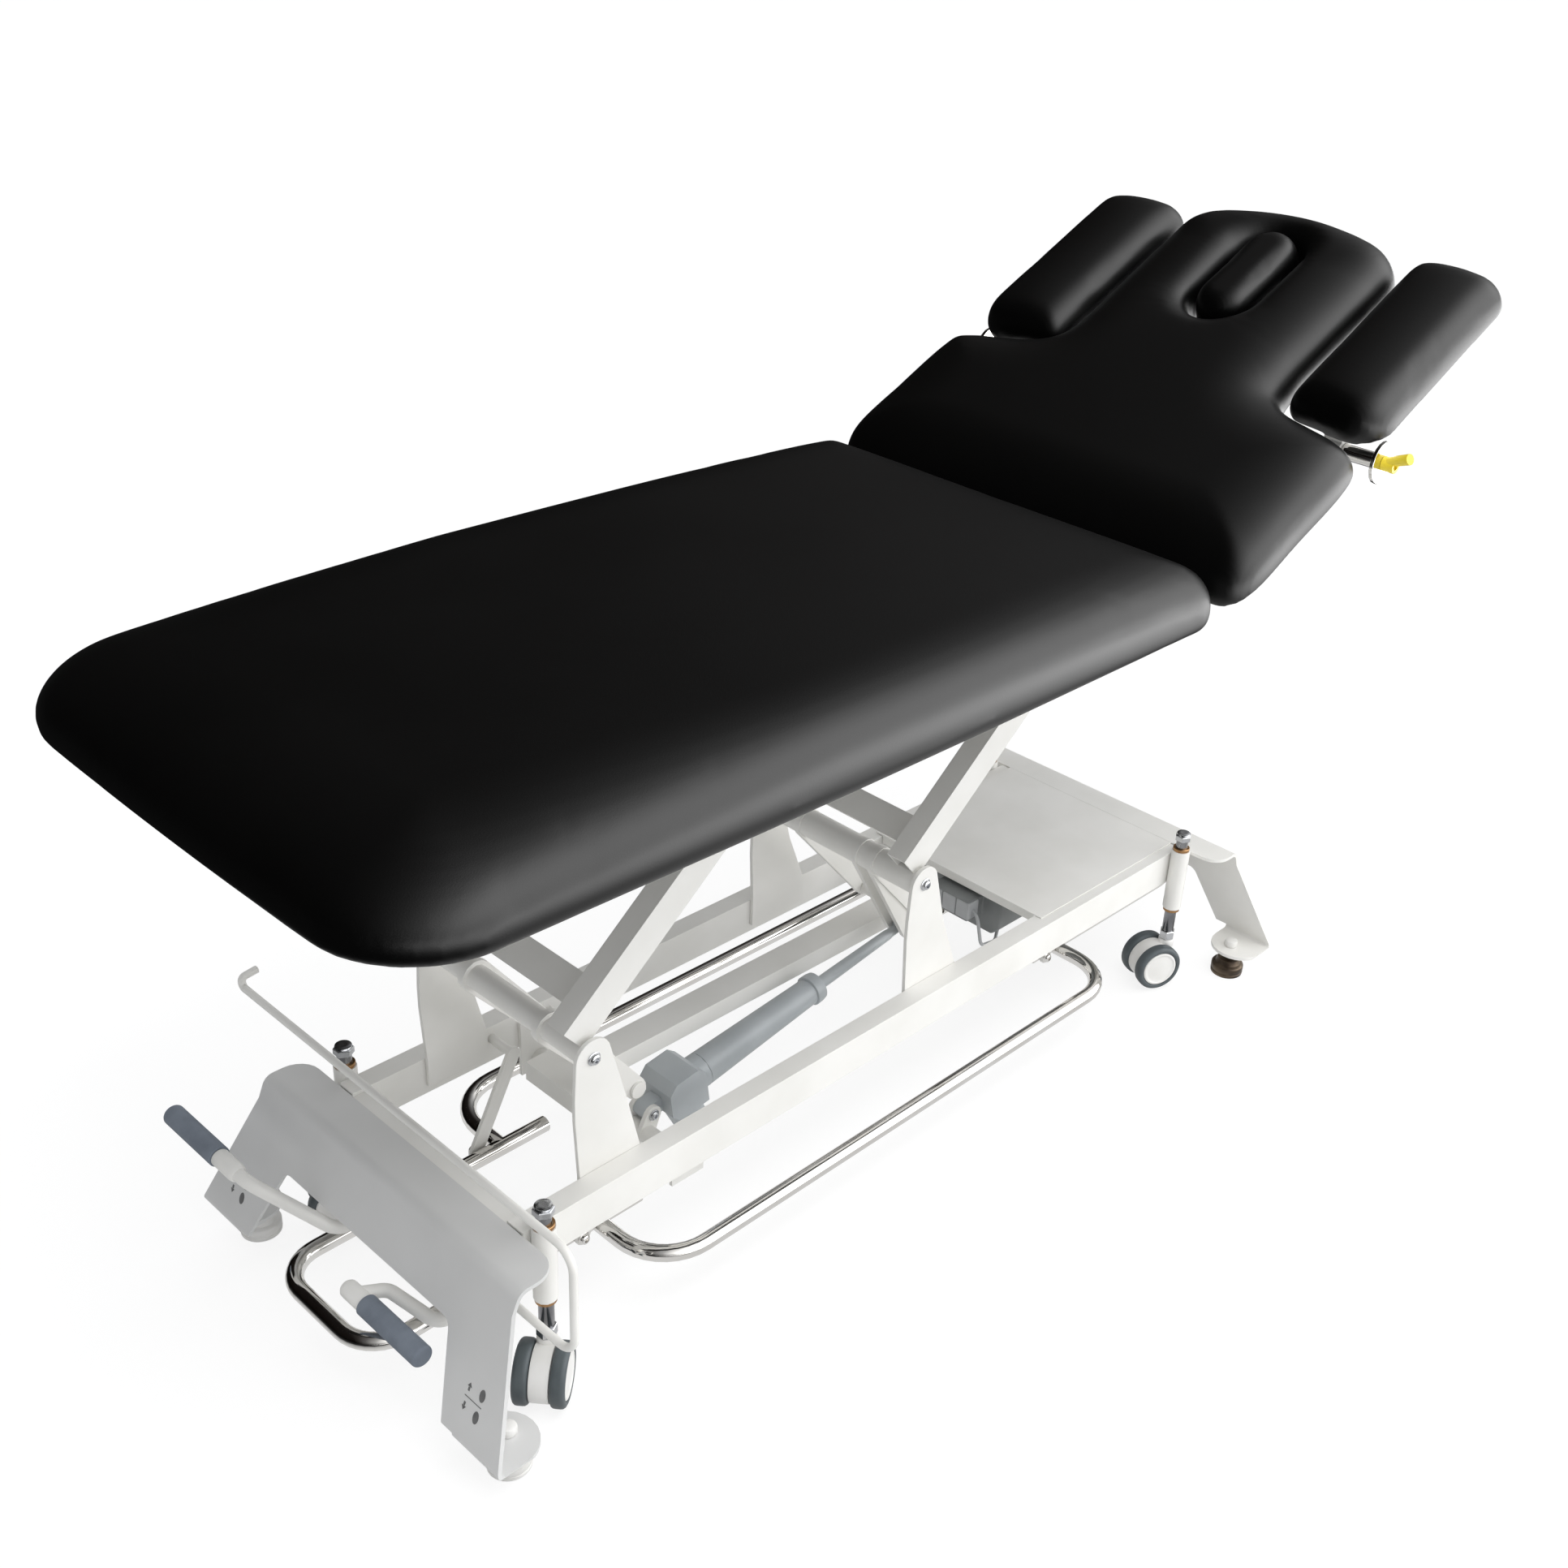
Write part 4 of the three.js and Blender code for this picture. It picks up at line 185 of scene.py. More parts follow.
# Base frame: two box-section rails with a welded sleeve at each end, two cross beams,
# and four tapered pivot plates. Cut from mild steel, welded, then coated warm white;
# the coating thins on the edges and keeps a faint orange-peel surface.
def coat(name, dark, light, drift, rough, metal, grain, strength, depth, shine=0.5):
    """A finish: colour and roughness drift between two near values with one broad noise
    field, and a fine noise field gives the surface its grain as bump."""
    material = bpy.data.materials.new(name)
    material.use_nodes = True
    tree = material.node_tree
    shader = tree.nodes["Principled BSDF"]
    shader.inputs["Metallic"].default_value = metal
    shader.inputs["Specular IOR Level"].default_value = shine
    where = wired(tree, "TexCoord").outputs["Object"]
    broad = wired(tree, "TexNoise", [("Scale", drift), ("Detail", 3.0)], [("Vector", where)])
    shades = wired(tree, "ValToRGB", feeds=[("Fac", broad.outputs["Fac"])])
    for stop, position, shade in zip(shades.color_ramp.elements, (0.35, 0.65), (dark, light)):
        stop.position, stop.color = position, (*shade, 1)
    fine = wired(tree, "TexNoise", [("Scale", grain), ("Detail", 4.0)], [("Vector", where)])
    bump = wired(tree, "Bump", [("Strength", strength), ("Distance", depth)],
                 [("Height", fine.outputs["Fac"])])
    tree.links.new(shades.outputs["Color"], shader.inputs["Base Color"])
    tree.links.new(carried_over(tree, broad.outputs["Fac"], 0.0, 1.0, *rough), shader.inputs["Roughness"])
    tree.links.new(bump.outputs["Normal"], shader.inputs["Normal"])
    return material


white_coat = coat("white_powder_coat", (0.82, 0.81, 0.775), (0.875, 0.865, 0.835), 9.0,
                  (0.34, 0.44), 0.0, 900.0, 0.16, 0.0002)
body_of = {node: body for body, nodes in frame["record"]["behaviour"]["bodies"].items() for node in nodes}


def fit(piece, node, finish):
    """Gives a piece its finish, sets it on its body and lets it stand for the node."""
    piece.data.materials.clear()
    piece.data.materials.append(finish)
    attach(piece, body_of[node])
    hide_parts(node)
    return piece


def add_on(piece, finish, body):
    """Gives a small piece that stands for no CAD node its finish and body."""
    piece.data.materials.append(finish)
    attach(piece, body)


def crisp_shading(shape, crease):
    """Smooth shading that breaks at edges sharper than the crease angle."""
    for face in shape.faces:
        face.smooth = True
    for side in shape.edges:
        side.smooth = len(side.link_faces) == 2 and side.calc_face_angle(0) < math.radians(crease)


def welded_part(node, name, finish, edge=0.0009, crease=38.0):
    """The node's own solid with its triangles joined into whole faces, and every sharp
    edge rounded by a small bevel, as sheet and tube edges are under their coating."""
    mesh = frame["nodes"][node].data.copy()
    mesh.name = name
    shape = bmesh.new()
    shape.from_mesh(mesh)
    bmesh.ops.remove_doubles(shape, verts=shape.verts, dist=0.00001)
    bmesh.ops.dissolve_limit(
        shape, angle_limit=math.radians(0.6), verts=shape.verts, edges=shape.edges, delimit={"NORMAL"})
    crisp_shading(shape, crease)
    shape.to_mesh(mesh)
    shape.free()
    part = placed(name, mesh)
    bevel = part.modifiers.new("eased_edges", "BEVEL")
    bevel.width = edge
    bevel.segments = 2
    bevel.limit_method = "ANGLE"
    bevel.angle_limit = math.radians(crease)
    bevel.harden_normals = True
    return fit(part, node, finish)


for side in ("near", "far"):
    welded_part(f"rail_{side}", f"base_rail_{side}", white_coat)
    for end in ("foot", "head"):
        welded_part(f"pivot_plate_{end}_{side}", f"hinge_plate_{end}_{side}", white_coat)
welded_part("foot_cross_beam", "cross_beam_foot", white_coat)
welded_part("head_cross_beam", "cross_beam_head", white_coat)


# Stand plates: each one folded from a single 5 mm steel sheet, with a rounded top
# fold, two sloping legs and a turned-in foot. The one at the foot end is coated
# silver-grey and the one at the head end white.
silver_coat = coat("silver_powder_coat", (0.68, 0.68, 0.675), (0.73, 0.73, 0.725), 7.0,
                   (0.36, 0.46), 0.05, 1600.0, 0.22, 0.0002)
welded_part("foot_stand_plate", "stand_plate_foot", silver_coat, edge=0.0016)
welded_part("head_stand_plate", "stand_plate_head", white_coat, edge=0.0016)


# Round parts: bars, pins and turned pieces, each a circle carried along its own line.
def rounded_path(corners, bend, steps=10):
    """The line through the corners with each corner turned into an arc of the bend
    radius: start + ahead * bend * sin t + inward * bend * (1 - cos t)."""
    corners = np.asarray(corners, float)
    parts = [corners[:1]]
    for before, corner, after in zip(corners[:-2], corners[1:-1], corners[2:]):
        ahead = (corner - before) / np.linalg.norm(corner - before)
        onward = (after - corner) / np.linalg.norm(after - corner)
        turn = math.acos(float(np.clip(ahead @ onward, -1, 1)))
        if turn < 0.01:
            continue
        inward = onward - ahead * (ahead @ onward)
        inward = inward / np.linalg.norm(inward)
        start = corner - ahead * bend * math.tan(turn / 2)
        t = np.linspace(0, turn, steps)[:, None]
        parts.append(start + ahead * bend * np.sin(t) + inward * bend * (1 - np.cos(t)))
    parts.append(corners[-1:])
    return np.concatenate(parts)


def full_turn(count):
    """Evenly spaced angles round a circle."""
    return np.linspace(0, 2 * math.pi, count, endpoint=False)


def carried_circle(path, radii, upright, sides):
    """A grid (around, along, xyz): a circle of each radius, square to the path."""
    path = np.asarray(path, float)
    ahead = np.gradient(path, axis=0)
    still = np.linalg.norm(ahead, axis=1) < 1e-9
    if still.any():
        good = np.flatnonzero(~still)
        ahead[still] = ahead[good[np.abs(good[None, :] - np.flatnonzero(still)[:, None]).argmin(axis=1)]]
    ahead /= np.linalg.norm(ahead, axis=1)[:, None]
    out = np.cross(ahead, np.asarray(upright, float))
    out /= np.linalg.norm(out, axis=1)[:, None]
    over = np.cross(ahead, out)
    angle = full_turn(sides)[:, None, None]
    ring = out[None] * np.cos(angle) + over[None] * np.sin(angle)
    return path[None] + ring * np.broadcast_to(radii, len(path))[None, :, None]


def bar(corners, radius, bend, sides=28, open_end=0.0):
    """A bent round bar with eased ends. With open_end, the ends show the tube's bore."""
    path = rounded_path(corners, bend)
    first = (path[1] - path[0]) / np.linalg.norm(path[1] - path[0])
    last = (path[-1] - path[-2]) / np.linalg.norm(path[-1] - path[-2])
    ease = radius * 0.12
    wall = radius * 0.82
    body = np.concatenate([[path[0] + first * ease], path[1:-1], [path[-1] - last * ease]])
    grid = carried_circle(body, radius, (0, 0, 1), sides)

    def cap(point, direction, centre_ring):
        """The rings that close one end: eased rim, then flat or bored to its bottom."""
        inside = [(point, radius - ease), (point, 0.0)]
        if open_end:
            bottom = point + direction * open_end
            inside[1:] = [(point, wall), (bottom, wall), (bottom, 0.0)]
        spread = centre_ring - centre_ring.mean(axis=0)
        spread /= np.linalg.norm(spread, axis=1)[:, None]
        return np.stack([place + spread * size for place, size in inside], axis=1)

    start = cap(path[0], first, grid[:, 0])[:, ::-1]
    end = cap(path[-1], -last, grid[:, -1])
    return np.concatenate([start, grid, end], axis=1)


def turned(profile, base, axis, sides=40):
    """A lathe shape: profile rows are (along the axis, radius) from the base point."""
    base, axis = np.asarray(base, float), np.asarray(axis, float)
    axis = axis / np.linalg.norm(axis)
    seed = np.array([0, 0, 1.0]) if abs(axis[2]) < 0.9 else np.array([1.0, 0, 0])
    out = np.cross(axis, seed)
    out /= np.linalg.norm(out)
    over = np.cross(axis, out)
    angle = full_turn(sides)[:, None, None]
    profile = np.asarray(profile, float)
    ring = (out * np.cos(angle) + over * np.sin(angle)) * profile[None, :, 1:2]
    return base + ring + axis * profile[None, :, 0:1]


def piece_of(name, grids, crease=40.0):
    """One mesh from closed grids of points: poles are merged and faces turned outwards."""
    points, faces, offset = [], [], 0
    for grid in grids:
        around, along, _ = grid.shape
        index = np.arange(around * along).reshape(around, along) + offset
        ahead = np.roll(index, -1, axis=0)
        faces.append(np.stack(
            [index[:, :-1], ahead[:, :-1], ahead[:, 1:], index[:, 1:]], axis=-1).reshape(-1, 4))
        points.append(grid.reshape(-1, 3))
        offset += around * along
    mesh = bpy.data.meshes.new(name)
    mesh.from_pydata(np.concatenate(points).tolist(), [], np.concatenate(faces).tolist())
    shape = bmesh.new()
    shape.from_mesh(mesh)
    bmesh.ops.remove_doubles(shape, verts=shape.verts, dist=0.000005)
    bmesh.ops.recalc_face_normals(shape, faces=shape.faces)
    crisp_shading(shape, crease)
    shape.to_mesh(mesh)
    shape.free()
    return placed(name, mesh)


def along_table(points):
    """Moves points measured from the middle of the base into the frame's own place."""
    return np.asarray(points, float) + (middle_x, 0, 0)


# Leg marks: small grey prints low on both legs of the foot stand, plain arrows and
# dots with a line between them, lying on the sloping face.
print_grey = coat("print_grey", (0.13, 0.13, 0.13), (0.17, 0.17, 0.17), 60.0,
                  (0.5, 0.6), 0.0, 500.0, 0.05, 0.0001)
leg_slope, fold_x, fold_z, print_thickness = 0.413, 0.6746, 0.226, 0.0005
face_normal = np.array([-1, 0, leg_slope]) / math.hypot(1, leg_slope)


def leg_print(outline, middle_y, middle_z):
    """A thin closed print: the outline (across, up in mm) laid on the leg's sloping face."""
    outline = np.asarray(outline, float) / 1000
    y, z = middle_y + outline[:, 0], middle_z + outline[:, 1]
    face = along_table(np.stack([-(fold_x + leg_slope * (fold_z - z)), y, z], axis=1))
    centre = np.broadcast_to(face.mean(axis=0), face.shape)
    lift = face_normal * print_thickness / 2
    return np.stack([centre - lift, face - lift, face + lift, centre + lift], axis=1)


dot_outline = np.stack([4.4 * np.cos(full_turn(24)), 6.8 * np.sin(full_turn(24))], axis=1)
for side in ("near", "far"):
    arrow_y, dot_y = (-0.217, -0.238) if side == "near" else (0.243, 0.222)
    prints = [leg_print(dot_outline, dot_y, middle_z) for middle_z in (0.110, 0.086)]
    prints.append(leg_print([(-14, -0.4), (14, -0.4), (14, 0.4), (-14, 0.4)], (arrow_y + dot_y) / 2, 0.098))
    for middle_z, way in ((0.1085, 1), (0.0875, -1)):
        prints.append(leg_print([(-3.4, 0), (3.4, 0), (0, 4.5 * way)], arrow_y, middle_z))
        shank = [(-1.4, -4.5 * way), (1.4, -4.5 * way), (1.4, -0.5 * way), (-1.4, -0.5 * way)]
        prints.append(leg_print(shank, arrow_y, middle_z))
    add_on(piece_of(f"leg_marks_{side}", prints), print_grey, "base")


# Pivot shafts: plated steel shafts through the plates and arms, with a small hexagon
# socket screw and washer outside each plate.
plated = coat("plated_steel", (0.5, 0.51, 0.53), (0.62, 0.63, 0.65), 40.0,
              (0.16, 0.3), 1.0, 500.0, 0.08, 0.0002)


def screw_head(place, axis, radius, height):
    """A domed socket screw on a thin washer, with its socket sunk in the head."""
    washer = turned([
        (0, 0), (0, radius * 1.25), (height * 0.2, radius * 1.25), (height * 0.28, radius * 1.15),
        (height * 0.28, 0)], place, axis, 32)
    head = turned([(0, 0), (0, radius), (height * 0.55, radius), (height * 0.85, radius * 0.86),
                   (height, radius * 0.6), (height, radius * 0.42), (height * 0.45, radius * 0.38),
                   (height * 0.4, 0)], place, axis, 32)
    return [washer, head]


def cross_pin(middle, half, radius, sides, head_radius, head_height):
    """A round pin across the table with a screw head on each end."""
    grids = [turned([(-half, 0), (-half, radius), (half, radius), (half, 0)], middle, (0, 1, 0), sides)]
    for sign in (-1, 1):
        grids += screw_head(middle + (0, sign * half, 0), (0, sign, 0), head_radius, head_height)
    return grids


foot_pivot_x, head_pivot_x, pivot_z, plate_outer_y, shaft_radius = -0.496, 0.046, 0.380, 0.14655, 0.006
for end, pivot_x in (("foot", foot_pivot_x), ("head", head_pivot_x)):
    shaft = cross_pin(along_table((pivot_x, 0, pivot_z)), plate_outer_y, shaft_radius, 24, 0.0068, 0.0055)
    fit(piece_of(f"pivot_screws_{end}", shaft), f"{end}_pivot_shaft", plated)


# Levelling feet: a disc with a skirt on a threaded spindle, bronze-coloured at the head
# end and white at the foot end. A hexagon nut locks it under the sheet, and a white cap
# covers it above.
bronze_steel = coat("bronze_steel", (0.05, 0.035, 0.025), (0.14, 0.105, 0.07), 35.0,
                    (0.28, 0.48), 0.7, 500.0, 0.2, 0.0003)
cap_moulding = coat("white_moulding", (0.80, 0.79, 0.76), (0.86, 0.85, 0.83), 20.0,
                    (0.28, 0.38), 0.0, 500.0, 0.1, 0.0002)
spindle_x, spindle_y, thread_radius, thread_depth = 0.6998, 0.2483, 0.0056, 0.0006
for end, end_sign in (("foot", -1), ("head", 1)):
    for side, side_sign in (("near", -1), ("far", 1)):
        node = f"levelling_foot_{end}_{side}"
        spot = along_table((end_sign * spindle_x, side_sign * spindle_y, 0))
        disc = turned([
            (0, 0), (0, 0.0232), (0.001, 0.0246), (0.005, 0.025), (0.006, 0.0241), (0.0072, 0.0241),
            (0.0084, 0.025), (0.015, 0.025), (0.0172, 0.0238), (0.019, 0.0195), (0.023, 0.0175),
            (0.0265, 0.0165), (0.0275, 0.0105), (0.0275, 0)], spot, (0, 0, 1), 48)
        thread = [(z, thread_radius - thread_depth * (i % 2))
                  for i, z in enumerate(np.linspace(0.0265, 0.0427, 27))]
        spindle = turned([(0.014, 0), *thread, (0.0427, 0)], spot, (0, 0, 1), 24)
        nut = turned([(0.0347, 0), (0.0347, 0.0092), (0.0355, 0.010), (0.0419, 0.010),
                      (0.0427, 0.0092), (0.0427, 0)], spot, (0, 0, 1), 6)
        foot_finish = bronze_steel if end == "head" else cap_moulding
        fit(piece_of(f"screw_foot_{end}_{side}", [disc, spindle, nut]), node, foot_finish)
        cover = turned([(0.0483, 0), (0.0483, 0.0094), (0.0492, 0.010), (0.0555, 0.010), (0.058, 0.0091),
                        (0.0592, 0.007), (0.0596, 0.0035), (0.0596, 0)], spot, (0, 0, 1), 32)
        add_on(piece_of(f"spindle_cap_{end}_{side}", [cover]), cap_moulding, body_of[node])


# Castors: a plated post that slides through its sleeve under a domed hexagon nut, a
# moulded swivelling body, and twin wheels with slate treads round pale hub discs.
bright_chrome = coat("bright_chrome", (0.72, 0.70, 0.67), (0.80, 0.79, 0.77), 12.0,
                     (0.05, 0.11), 1.0, 300.0, 0.04, 0.0002)
dark_post = coat("burnished_post", (0.20, 0.20, 0.21), (0.30, 0.30, 0.31), 30.0,
                 (0.15, 0.28), 1.0, 400.0, 0.06, 0.0002)
slate_tread = coat("slate_tread", (0.06, 0.073, 0.08), (0.09, 0.107, 0.115), 30.0,
                   (0.45, 0.6), 0.0, 900.0, 0.22, 0.0004)
bush_bronze = coat("bush_bronze", (0.30, 0.16, 0.07), (0.45, 0.26, 0.12), 60.0,
                   (0.25, 0.4), 0.9, 500.0, 0.1, 0.0002)
post_x, post_y, wheel_z, trail, half_track = 0.6006, 0.1886, 0.0405, 0.022, 0.021
headings = {"foot_near": 220, "foot_far": 150, "head_near": 155, "head_far": 205}
tread_profile = np.array([
    (-0.009, 0.0), (-0.009, 0.030), (-0.0086, 0.033), (-0.0072, 0.0355), (-0.0052, 0.0367),
    (-0.0022, 0.037), (0.003, 0.037), (0.0056, 0.0366), (0.0076, 0.035), (0.0088, 0.0325),
    (0.009, 0.0302), (0.0083, 0.029), (0.007, 0.0287), (0.007, 0.0)])
hub_profile = np.array([
    (0.0069, 0.0), (0.0069, 0.0278), (0.008, 0.0276), (0.0086, 0.0266), (0.0086, 0.0248), (0.0079, 0.024),
    (0.0077, 0.020), (0.0081, 0.012), (0.0082, 0.0)])
for spot_name, heading in headings.items():
    end, side = spot_name.split("_")
    spot = along_table((-post_x if end == "foot" else post_x, -post_y if side == "near" else post_y, 0))
    way = np.array([math.cos(math.radians(heading)), math.sin(math.radians(heading)), 0])
    across_way = np.array([-way[1], way[0], 0])
    hub = spot + way * trail + (0, 0, wheel_z)
    post = turned([(0.078, 0), (0.078, 0.0085), (0.0795, 0.009), (0.252, 0.009), (0.252, 0)],
                  spot, (0, 0, 1), 32)
    fit(piece_of(f"sliding_post_{spot_name}", [post]), f"castor_post_{spot_name}", dark_post)
    rings = piece_of(f"bronze_bushes_{spot_name}", [turned(
        [(low, 0.0094), (low, 0.0119), (low + 0.0006, 0.0125), (low + 0.0046, 0.0125), (low + 0.0052, 0.0119),
         (low + 0.0052, 0.0094), (low, 0.0094)], spot, (0, 0, 1), 36) for low in (0.1288, 0.235)])
    add_on(rings, bush_bronze, "base")
    nut = turned([(0.2526, 0), (0.2526, 0.0115), (0.2534, 0.0125), (0.2604, 0.0125),
                  (0.2612, 0.0116), (0.2612, 0)], spot, (0, 0, 1), 6)
    dome = turned([(0.2606, 0), (0.2606, 0.0098), (0.2626, 0.0106), (0.2644, 0.010), (0.2654, 0.008),
                   (0.2656, 0.0045), (0.265, 0)], spot, (0, 0, 1), 32)
    collar = turned([(0.078, 0), (0.078, 0.011), (0.079, 0.012), (0.091, 0.012), (0.092, 0.011), (0.092, 0)],
                    spot, (0, 0, 1), 6)
    add_on(piece_of(f"post_nuts_{spot_name}", [nut, dome, collar]), plated,
           body_of[f"castor_post_{spot_name}"])
    drum = turned([(-0.0117, 0), (-0.0117, 0.030), (-0.011, 0.0326), (-0.009, 0.033), (0.009, 0.033),
                   (0.011, 0.0326), (0.0117, 0.030), (0.0117, 0)], hub, across_way, 56)
    stem = turned([(0.044, 0), (0.044, 0.0115), (0.070, 0.012), (0.0765, 0.0116),
                   (0.0777, 0.0105), (0.0777, 0)], spot, (0, 0, 1), 36)
    neck = carried_circle(
        [spot + (0, 0, 0.060), spot + (0, 0, 0.060), spot + way * 0.006 + (0, 0, 0.054),
         spot + way * 0.014 + (0, 0, 0.046), hub, hub],
        [0.0, 0.0105, 0.0112, 0.0112, 0.0108, 0.0], across_way, 24)
    fit(piece_of(f"swivel_body_{spot_name}", [drum, stem, neck]), f"castor_body_{spot_name}", cap_moulding)
    wheels, discs = [], []
    for sign in (-1, 1):
        centre = hub + across_way * sign * half_track
        wheels.append(turned(tread_profile, centre, across_way * sign, 64))
        discs.append(turned(hub_profile, centre, across_way * sign, 56))
    fit(piece_of(f"twin_treads_{spot_name}", wheels), f"castor_wheels_{spot_name}", slate_tread)
    add_on(piece_of(f"hub_discs_{spot_name}", discs), cap_moulding,
           body_of[f"castor_wheels_{spot_name}"])


# Foot control: one chromed tube bent into a loop at each end and along each side,
# welded where the loops meet, and hung on four flat painted links with small screws.
loop_z, leg_y, tube_radius, bore_depth = 0.087, 0.090, 0.0105, 0.02
loop_x, leg_end_x, side_y, stud_y = 0.765, 0.384, 0.208, 0.092
foot_stud_x, head_stud_x = -0.482, 0.402
tubes = []
for sign in (-1, 1):
    tubes.append(bar(along_table([
        (sign * leg_end_x, -leg_y, loop_z), (sign * loop_x, -leg_y, loop_z),
        (sign * loop_x, leg_y, loop_z), (sign * leg_end_x, leg_y, loop_z)]),
        tube_radius, 0.050, open_end=bore_depth))
    tubes.append(bar(along_table([
        (-0.452, sign * leg_y, loop_z), (-0.452, sign * side_y, loop_z),
        (0.435, sign * side_y, loop_z), (0.435, sign * leg_y, loop_z)]), tube_radius, 0.070))
for stud_x in (foot_stud_x, head_stud_x):
    for sign in (-1, 1):
        stud = along_table((stud_x, sign * stud_y, loop_z))
        tubes.append(turned([(0, 0), (0, 0.004), (0.0145, 0.004), (0.0145, 0)], stud, (0, sign, 0), 20))
        tubes += screw_head(stud + (0, sign * 0.0142, 0), (0, sign, 0), 0.0066, 0.0062)
fit(piece_of("foot_control_tubes", tubes), "foot_control_bar", bright_chrome)
link_radius, link_face_y, link_reach, link_top_z = 0.0097, 0.1056, 0.061, 0.208
for end, stud_x in (("foot", foot_stud_x), ("head", head_stud_x)):
    low_end, high_end = np.array([stud_x, loop_z]), np.array([stud_x + link_reach, link_top_z])
    lean = math.atan2(high_end[1] - low_end[1], high_end[0] - low_end[0])
    turn = np.linspace(-math.pi / 2, math.pi / 2, 16)
    half_round = link_radius * np.stack([np.cos(lean + turn), np.sin(lean + turn)], axis=1)
    around = np.concatenate([high_end + half_round, low_end - half_round])
    middle = (low_end + high_end) / 2
    layers = ((0.1008, 0.0), (0.1008, 0.985), (0.1013, 1.0), (0.1053, 1.0), (0.1058, 0.985), (0.1058, 0.0))
    links = []
    for sign in (-1, 1):
        rows = [middle + (around - middle) * share for _, share in layers]
        links.append(along_table(np.stack([
            np.stack([row[:, 0], np.full(len(row), sign * y), row[:, 1]], axis=1)
            for row, (y, _) in zip(rows, layers)], axis=1)))
        links += screw_head(
            along_table((high_end[0], sign * link_face_y, high_end[1])), (0, sign, 0), 0.0058, 0.0045)
    fit(piece_of(f"control_links_{end}", links), f"foot_control_strut_{end}", white_coat)


# Castor pedals: bent steel levers, coated white, each with a smooth sleeve that ends
# in a round cap, and a soft blue-grey foam grip pushed over the rest.
grip_foam = coat("grip_foam", (0.17, 0.195, 0.235), (0.21, 0.24, 0.285), 40.0,
                 (0.75, 0.9), 0.0, 1500.0, 0.5, 0.0006, 0.3)
axle_x, axle_z, far_hub_y, near_hub_y, lever_radius = -0.655, 0.118, 0.064, -0.128, 0.008


def pedal(name, node, corners, hub_y, sleeve, ends, bend):
    """The bent lever with its hub, and the sleeve round its grip end."""
    hub = along_table((axle_x, hub_y, axle_z))
    grids = [bar(along_table([(axle_x, hub_y, axle_z), *corners]), lever_radius, bend, sides=24),
             turned([(-0.010, 0.0071), (-0.010, 0.0122), (-0.0092, 0.013), (0.0092, 0.013), (0.010, 0.0122),
                     (0.010, 0.0071), (-0.010, 0.0071)], hub, (0, 1, 0), 36)]
    x, z = sleeve
    y0, y1 = ends
    way = 1 if y1 > y0 else -1
    length = abs(y1 - y0)
    grids.append(turned([(0, 0), (0.0002, 0.005), (0.0012, 0.0088), (0.004, 0.0106), (0.008, 0.011),
                         (length - 0.001, 0.011), (length, 0.0102), (length, 0)],
                        along_table((x, y0, z)), (0, way, 0), 40))
    return fit(piece_of(name, grids), node, white_coat)


def foam_grip(name, node, x, z, y0, y1):
    """A foam tube with a softly rounded closed end."""
    length, radius = abs(y1 - y0), 0.013
    turn = np.linspace(0, math.pi / 2, 7)
    closed = [(length - radius * 0.3 * (1 - math.sin(t)), radius * (0.72 + 0.28 * math.cos(t))) for t in turn]
    profile = [(0, 0.0093), (0, 0.0121), (0.0008, 0.013)] + closed + [(length, 0.0)]
    grip = piece_of(name, [turned(profile, along_table((x, y0, z)), (0, 1 if y1 > y0 else -1, 0), 44)])
    return fit(grip, node, grip_foam)


far_grip, near_grip = (-0.765, 0.185), (-0.740, 0.118)
pedal("pedal_lever_far", "castor_pedal_far",
      [(-0.702, far_hub_y, 0.124), (-0.765, 0.136, 0.185), (-0.765, 0.195, 0.185)],
      far_hub_y, far_grip, (0.1515, 0.1947), 0.026)
pedal("pedal_lever_near", "castor_pedal_near",
      [(-0.698, near_hub_y, 0.115), (-0.710, -0.050, 0.118), (-0.740, -0.031, 0.118)],
      near_hub_y, near_grip, (-0.0145, -0.0527), 0.018)
foam_grip("foam_grip_far", "castor_pedal_grip_far", *far_grip, 0.195, 0.300)
foam_grip("foam_grip_near", "castor_pedal_grip_near", *near_grip, -0.053, -0.159)


# Paper roll rod: a coated steel rod across the foot end, hooked up at its far end and
# bent down and back under the near rail, where a welded block holds it.
rod_radius, rod_x = 0.00475, -0.640
hook_y, rod_z, drop_y, block_z = 0.34025, 0.287, -0.288, 0.146
rod_line = [
    (rod_x + 0.021, hook_y, 0.303), (rod_x, hook_y, 0.300), (rod_x, hook_y, rod_z), (rod_x, 0.317, rod_z),
    (rod_x, drop_y, rod_z), (rod_x, drop_y, block_z), (rod_x, -0.156, block_z)]
hook_path = rounded_path(along_table(rod_line[:4]), 0.0062)
rod_path = rounded_path(along_table(rod_line[3:]), 0.026)
whole_path = np.concatenate([hook_path, rod_path[1:]])
rod_grid = carried_circle(whole_path, rod_radius, (0.35, 0.1, 0), 20)
tip_ring = whole_path[0] + (rod_grid[:, :1] - whole_path[0]) * 0.75 + (0.0008, 0, 0)
tip_point = np.broadcast_to(whole_path[0] + (0.001, 0, 0), (20, 3))[:, None]
last_point = np.broadcast_to(whole_path[-1], (20, 3))[:, None]
rod_grid = np.concatenate([tip_point, tip_ring, rod_grid, last_point], axis=1)
fit(piece_of("paper_rod", [rod_grid]), "paper_roll_rod", white_coat)
block_low, block_high = along_table((-0.646, -0.173, 0.1412)), along_table((-0.604, -0.156, 0.1731))


